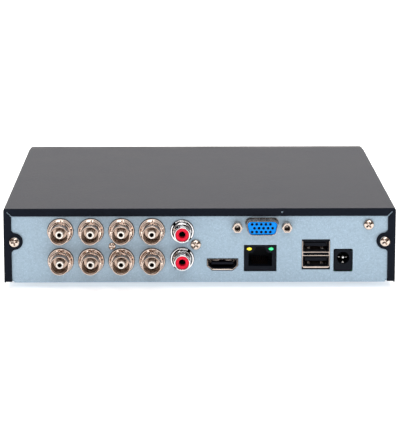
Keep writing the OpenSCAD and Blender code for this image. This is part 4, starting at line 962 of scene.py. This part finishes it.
class RECORDER_OT_power_jack(bpy.types.Operator):
    """Power jack with a rounded mouth, its pin and the spring contacts round it"""
    bl_idname = "recorder.power_jack"
    bl_label = "Power Jack"

    def execute(self, context):
        seat, axis = on_panel("dc_jack_body", box("dc_jack_body")[0].z), 6.7
        body = socket(round_rect(9, 11, 1.3, 6, (0, 5.5)), [(circle(3.15, 48, (0, axis)), 10.1)], 14.1)
        bevel_sharp(body, 0.22, 3)
        piece("power_body", shifted(body, z=0.1), "connector_black", ["dc_jack_body"], seat)
        pin = turned([(0, -14), (1, -14), (1, -2.3), (0.92, -1.9), (0.7, -1.5), (0.45, -1.28), (0, -1.2)], 32)
        springs = [block((1.2, 0.3, 6), (0, -2.75, -4.6), 0.1), block((1.0, 0.8, 0.9), (0, -2.5, -2.2), 0.3, 3)]
        springs += [block((1.5, 0.3, 4), (x, -0.3, -5.5), 0.1) for x in (-1.9, 1.9)]
        piece("power_pin", shifted(joined([pin, *springs]), y=axis), "contact_steel", ["dc_jack_pin"], seat)
        return {"FINISHED"}


# ---------------------------------------------------------------- main board

def leaded_chip(low, high, pitch, sides):
    """Two parts of a chip between two corners: its body, and bent leads along two sides or all four"""
    size, centre = high - low, (low + high) / 2
    lead = min(0.9, size.x * 0.09)
    body = block((size.x - 2 * lead, size.y - 2 * lead, size.z - 0.12), centre + Vector((0, 0, 0.06)), 0.12)
    dot = shifted(turned([(0, 0), (0.45, 0), (0.45, 0.02), (0, 0.02)], 16), low.x + 2.2 * lead + 1,
                  low.y + 2.2 * lead + 1, high.z)
    leads = []
    for axis in sides:
        i = "XY".index(axis)
        other = 1 - i
        count = int((size[other] * MM - 2.4 * MM) / (pitch * MM))
        for side in (-1, 1):
            for k in range(count):
                spot = [0, 0, low.z + 0.30]
                spot[i] = centre[i] + side * (size[i] / 2 - lead * 0.6)
                spot[other] = centre[other] + (k - (count - 1) / 2) * pitch
                across = [0.38 * pitch, 0.38 * pitch, 0.6]
                across[i] = lead * 1.2
                leads.append(block(across, spot, 0.06, 1))
    return joined([body, dot]), leads


class RECORDER_OT_board(bpy.types.Operator):
    """Main board with its chips, heatsink, cell, buzzer, capacitors, headers and small parts"""
    bl_idname = "recorder.board"
    bl_label = "Main Board"

    def execute(self, context):
        refined("main_board", "green_board", "board_green", 0.08)
        bodies, leads = [], []
        for low, high in boxes_of("chips"):
            size = high - low
            square = abs(size.x - size.y) < 1
            body, pins = leaded_chip(low, high, 0.8 if size.x < 16 else 1.27, "XY" if square else "Y")
            bodies.append(body)
            leads += pins
        whole = Matrix.Scale(MM, 4)
        piece("chip_bodies", bodies, "chip_black", ["chips"], whole)
        piece("chip_pins", leads, "contact_steel", seat=whole, finish="chip_leads")
        refined("heatsink", "finned_sink", "sink_aluminium", 0.15)
        refined("coin_cell_holder", "cell_holder", "connector_black", 0.3)
        cell = fitted(box("coin_cell"), lambda r, h: [
            (0, 0), (r - 0.5, 0), (r, 0.4), (r, 2.2), (r - 0.25, 2.4), (r - 0.9, 2.4), (r - 1.1, 2.3),
            (r - 1.3, 2.9), (r - 1.8, h), (0, h)], 72)
        piece("lithium_cell", cell, "cell_steel", ["coin_cell"])
        sounder = fitted(box("buzzer"), lambda r, h: [
            (0, 0), (r, 0), (r, h - 0.6), (r - 0.6, h), (1.3, h), (1.0, h - 0.3), (1.0, h - 3), (0, h - 3)], 48)
        piece("sounder", sounder, "connector_black", ["buzzer"])
        cans = [fitted(place, lambda r, h: [
            (0, 0), (0.96 * r, 0), (r, 0.3), (r, 0.9), (0.93 * r, 1.2), (r, 1.5), (r, h - 0.5),
            (0.95 * r, h - 0.1), (0.86 * r, h), (0.80 * r, h - 0.25), (0, h - 0.25)], 40)
            for place in boxes_of("capacitors")]
        piece("can_capacitors", cans, "capacitor_sleeve", ["capacitors"])
        refined("board_headers", "header_sockets", "header_ivory", 0.2)
        self.small_parts()
        return {"FINISHED"}

    def small_parts(self):
        """Chip resistors and capacitors on the board's free areas, in the same places every time"""
        rng = random.Random(41)
        low, high = box("main_board")
        grid, room, margin, rear_margin = 2.4, 2.2, 3, 24
        taken = [corners for node in (
            "bnc_block", "rca_block", "hdmi_shell", "vga_riser", "usb_shell", "dc_jack_body", "heatsink",
            "chips", "capacitors", "coin_cell_holder", "buzzer", "board_headers", "board_screws",
            "bnc_shell_5", "rj45_housing") for corners in boxes_of(node)]
        bodies, ends = [], []
        while len(bodies) < 150:
            long, wide, tall = rng.choice([(1.6, 0.8, 0.45), (2.0, 1.25, 0.6), (3.2, 1.6, 1.1)])
            turn = rng.random() < 0.5
            x = round(rng.uniform(low.x + margin, high.x - margin) / grid) * grid
            y = round(rng.uniform(low.y + rear_margin, high.y - margin) / grid) * grid
            if any(a.x - room < x < b.x + room and a.y - room < y < b.y + room for a, b in taken):
                continue
            taken.append((Vector((x, y, 0)), Vector((x, y, 0))))
            spot = seat_at(x, y, high.z, Matrix.Rotation(math.pi / 2 * turn, 4, "Z"))
            bodies.append(placed(block((long * 0.66, wide, tall), (0, 0, tall / 2), 0.06, 1), spot))
            for side in (-1, 1):
                end = block((long * 0.18, wide, tall * 0.96), (side * long * 0.41, 0, tall * 0.48), 0.05, 1)
                ends.append(placed(end, spot))
        piece("small_part_bodies", bodies, "chip_black", finish="small_parts")
        piece("small_part_ends", ends, "contact_steel", finish="chip_leads")


# ---------------------------------------------------------------- hard disk and cables

class RECORDER_OT_disk(bpy.types.Operator):
    """Hard disk: casting, lid with a blank label and screws, platters, arm and its board"""
    bl_idname = "recorder.disk"
    bl_label = "Hard Disk"

    def execute(self, context):
        refined("disk_base", "disk_casting", "disk_casting", 0.4)
        refined("disk_board", "disk_electronics", "board_green", 0.08)
        refined("head_arm", "swing_arm", "arm_aluminium", 0.1, body="head_arm")
        self.lid()
        hub, disc = 13, 1.27

        def stack(rim, top):
            profile = [(0, 0), (hub, 0)]
            for level in (top - 6.64, top - 2.77):
                profile += [(hub, level), (rim - 0.1, level), (rim, level + 0.1), (rim, level + disc - 0.1),
                            (rim - 0.1, level + disc), (hub, level + disc)]
            return profile + [(hub, top - 0.3), (hub - 0.3, top), (4, top), (3.6, top - 0.8), (0, top - 0.8)]

        piece("mirror_discs", fitted(box("disk_platters"), stack, 96), "platter_mirror", ["disk_platters"],
              body="platters")
        return {"FINISHED"}

    def lid(self):
        low, high = box("disk_lid")
        size, centre = high - low, (low + high) / 2
        hub = sum(box("disk_platters"), Vector()) / 2
        whole, face, base = Matrix.Scale(MM, 4), high.z - 0.35, low.z

        def sheet(width, height, radius, level):
            return round_rect(width, height, radius, centre=centre.xy), level

        body = lofted([sheet(size.x, size.y, 4, base), sheet(size.x, size.y, 4, face - 0.3),
                       sheet(size.x - 1.2, size.y - 1.2, 3.4, face), sheet(0.4, 0.4, 0.1, face),
                       sheet(0.4, 0.4, 0.1, base)])
        raised = turned([(20, face - 0.1), (48, face - 0.1), (48, face), (47, face + 0.3), (21, face + 0.3),
                         (20, face)], 96)
        piece("disk_cover_plate", [body, shifted(raised, hub.x, hub.y)], "disk_cover", ["disk_lid"], whole)
        spots = [(x, y) for x in (low.x + 5, high.x - 5) for y in (low.y + 5, high.y - 5)]
        spots += [(centre.x + 8, low.y + 5), (centre.x + 8, high.y - 5), (hub.x, hub.y)]
        recess = [(circle(1.2, 6), 0.3)]
        heads = [shifted(bevel_sharp(socket(circle(2.6, 32), recess, 0.34), 0.1), *spot, high.z) for spot in spots]
        piece("disk_cover_screws", heads, "screw_nickel", seat=whole)
        inset = sizes().label_inset / MM
        sticker = plate(round_rect(size.x * 0.42, size.y - 2 * inset, 2,
                                   centre=(high.x - inset - size.x * 0.21, centre.y)), [], face, face + 0.12)
        piece("blank_label", sticker, "disk_cover", seat=whole, finish="label_paper")


class RECORDER_OT_cables(bpy.types.Operator):
    """Data and power cables between the disk and the main board"""
    bl_idname = "recorder.cables"
    bl_label = "Cables"

    def execute(self, context):
        refined("data_cable", "data_lead", "cable_red", 0, sharp=math.radians(50))
        refined("power_cable", "power_lead", "cable_black", 0, sharp=math.radians(50))
        return {"FINISHED"}


# ---------------------------------------------------------------- stage

def soft_light(name, place, towards, size, power):
    light = bpy.data.lights.new(name, "AREA")
    light.shape = "RECTANGLE"
    light.size, light.size_y = size
    light.energy = power
    holder = bpy.data.objects.new(name, light)
    bpy.context.scene.collection.objects.link(holder)
    turn = (Vector(towards) - Vector(place)).to_track_quat("-Z", "Y")
    holder.matrix_world = Matrix.Translation(place) @ turn.to_matrix().to_4x4()


class RECORDER_OT_stage(bpy.types.Operator):
    """Pale floor, soft studio light and the camera"""
    bl_idname = "recorder.stage"
    bl_label = "Stage"

    def execute(self, context):
        scene = context.scene
        stage = scene.recorder_stage
        camera = bpy.data.cameras.new("camera")
        camera.lens = stage.lens
        camera.sensor_width = 36
        camera.clip_end = 20
        holder = bpy.data.objects.new("camera", camera)
        scene.collection.objects.link(holder)
        holder.location = stage.camera_at
        holder.rotation_euler = (stage.camera_tilt, 0, stage.camera_turn)
        scene.camera = holder
        scene.view_settings.view_transform = "Standard"

        world = bpy.data.worlds.new("studio")
        world.use_nodes = True
        self.surround(world.node_tree, stage.surround)
        scene.world = world
        soft_light("key", (-0.1, 0.25, 1.5), (0, 0.1, 0), (1.8, 1.4), stage.key)
        soft_light("fill", (0.15, -1.35, 0.85), (0, -0.09, 0.02), (0.9, 0.4), stage.fill)
        bm = bmesh.new()
        bmesh.ops.create_grid(bm, x_segments=4, y_segments=4, size=12)
        shifted(bm, z=-0.1 * MM)
        mesh = bpy.data.meshes.new("floor")
        bm.to_mesh(mesh)
        bm.free()
        mesh.materials.append(shared("studio_floor"))
        floor = bpy.data.objects.new("floor", mesh)
        scene.collection.objects.link(floor)
        return {"FINISHED"}

    def surround(self, tree, strength):
        """A room that is pale above and beyond the recorder, and a dim warm brown where its sockets face"""
        direction = add(tree, "SeparateXYZ", {0: add(tree, "TexCoord").outputs["Generated"]})
        ahead, above = (
            add(tree, "MapRange", {"Value": direction.outputs[axis], "From Min": first, "From Max": last}).outputs[0]
            for axis, first, last in (("Y", -0.35, 0.35), ("Z", 0.42, 0.8)))
        dim, pale, ceiling = (0.14, 0.085, 0.06, 1), (2.1, 2.03, 2.03, 1), (1.0, 0.98, 0.96, 1)
        sides = add(tree, "Mix", {0: ahead, 6: dim, 7: pale}, data_type="RGBA")
        whole = add(tree, "Mix", {0: above, 6: sides.outputs[2], 7: ceiling}, data_type="RGBA")
        tree.links.new(whole.outputs[2], tree.nodes["Background"].inputs["Color"])
        tree.nodes["Background"].inputs["Strength"].default_value = strength


# ---------------------------------------------------------------- panel and registration

OPERATORS = (
    RECORDER_OT_cover, RECORDER_OT_tray, RECORDER_OT_front, RECORDER_OT_screws, RECORDER_OT_video_jacks,
    RECORDER_OT_phono_jacks, RECORDER_OT_monitor_socket, RECORDER_OT_hdmi_socket, RECORDER_OT_network_socket,
    RECORDER_OT_usb_sockets, RECORDER_OT_power_jack, RECORDER_OT_board, RECORDER_OT_disk, RECORDER_OT_cables,
    RECORDER_OT_stage,
)


class RECORDER_PT_sidebar(bpy.types.Panel):
    """Lists the recorder's pieces"""
    bl_idname = "RECORDER_PT_sidebar"
    bl_label = "Recorder"
    bl_space_type = "VIEW_3D"
    bl_region_type = "UI"
    bl_category = "Recorder"

    def draw(self, context):
        for operator in OPERATORS:
            self.layout.operator(operator.bl_idname)
        for holder, _ in GROUPS:
            group, frame_box = getattr(context.scene, holder), self.layout.box()
            for name in group.__annotations__:
                frame_box.prop(group, name)


GROUPS = (
    ("recorder_sizes", RecorderSizes), ("recorder_finishes", RecorderFinishes), ("recorder_stage", RecorderStage),
)


def register():
    for name, group in GROUPS:
        bpy.utils.register_class(group)
        setattr(bpy.types.Scene, name, PointerProperty(type=group))
    for item in (*OPERATORS, RECORDER_PT_sidebar):
        bpy.utils.register_class(item)


def unregister():
    for item in (RECORDER_PT_sidebar, *reversed(OPERATORS)):
        bpy.utils.unregister_class(item)
    for name, group in reversed(GROUPS):
        delattr(bpy.types.Scene, name)
        bpy.utils.unregister_class(group)


def main():
    register()
    for operator in OPERATORS:
        category, name = operator.bl_idname.split(".")
        getattr(getattr(bpy.ops, category), name)()


if __name__ == "__main__":
    main()
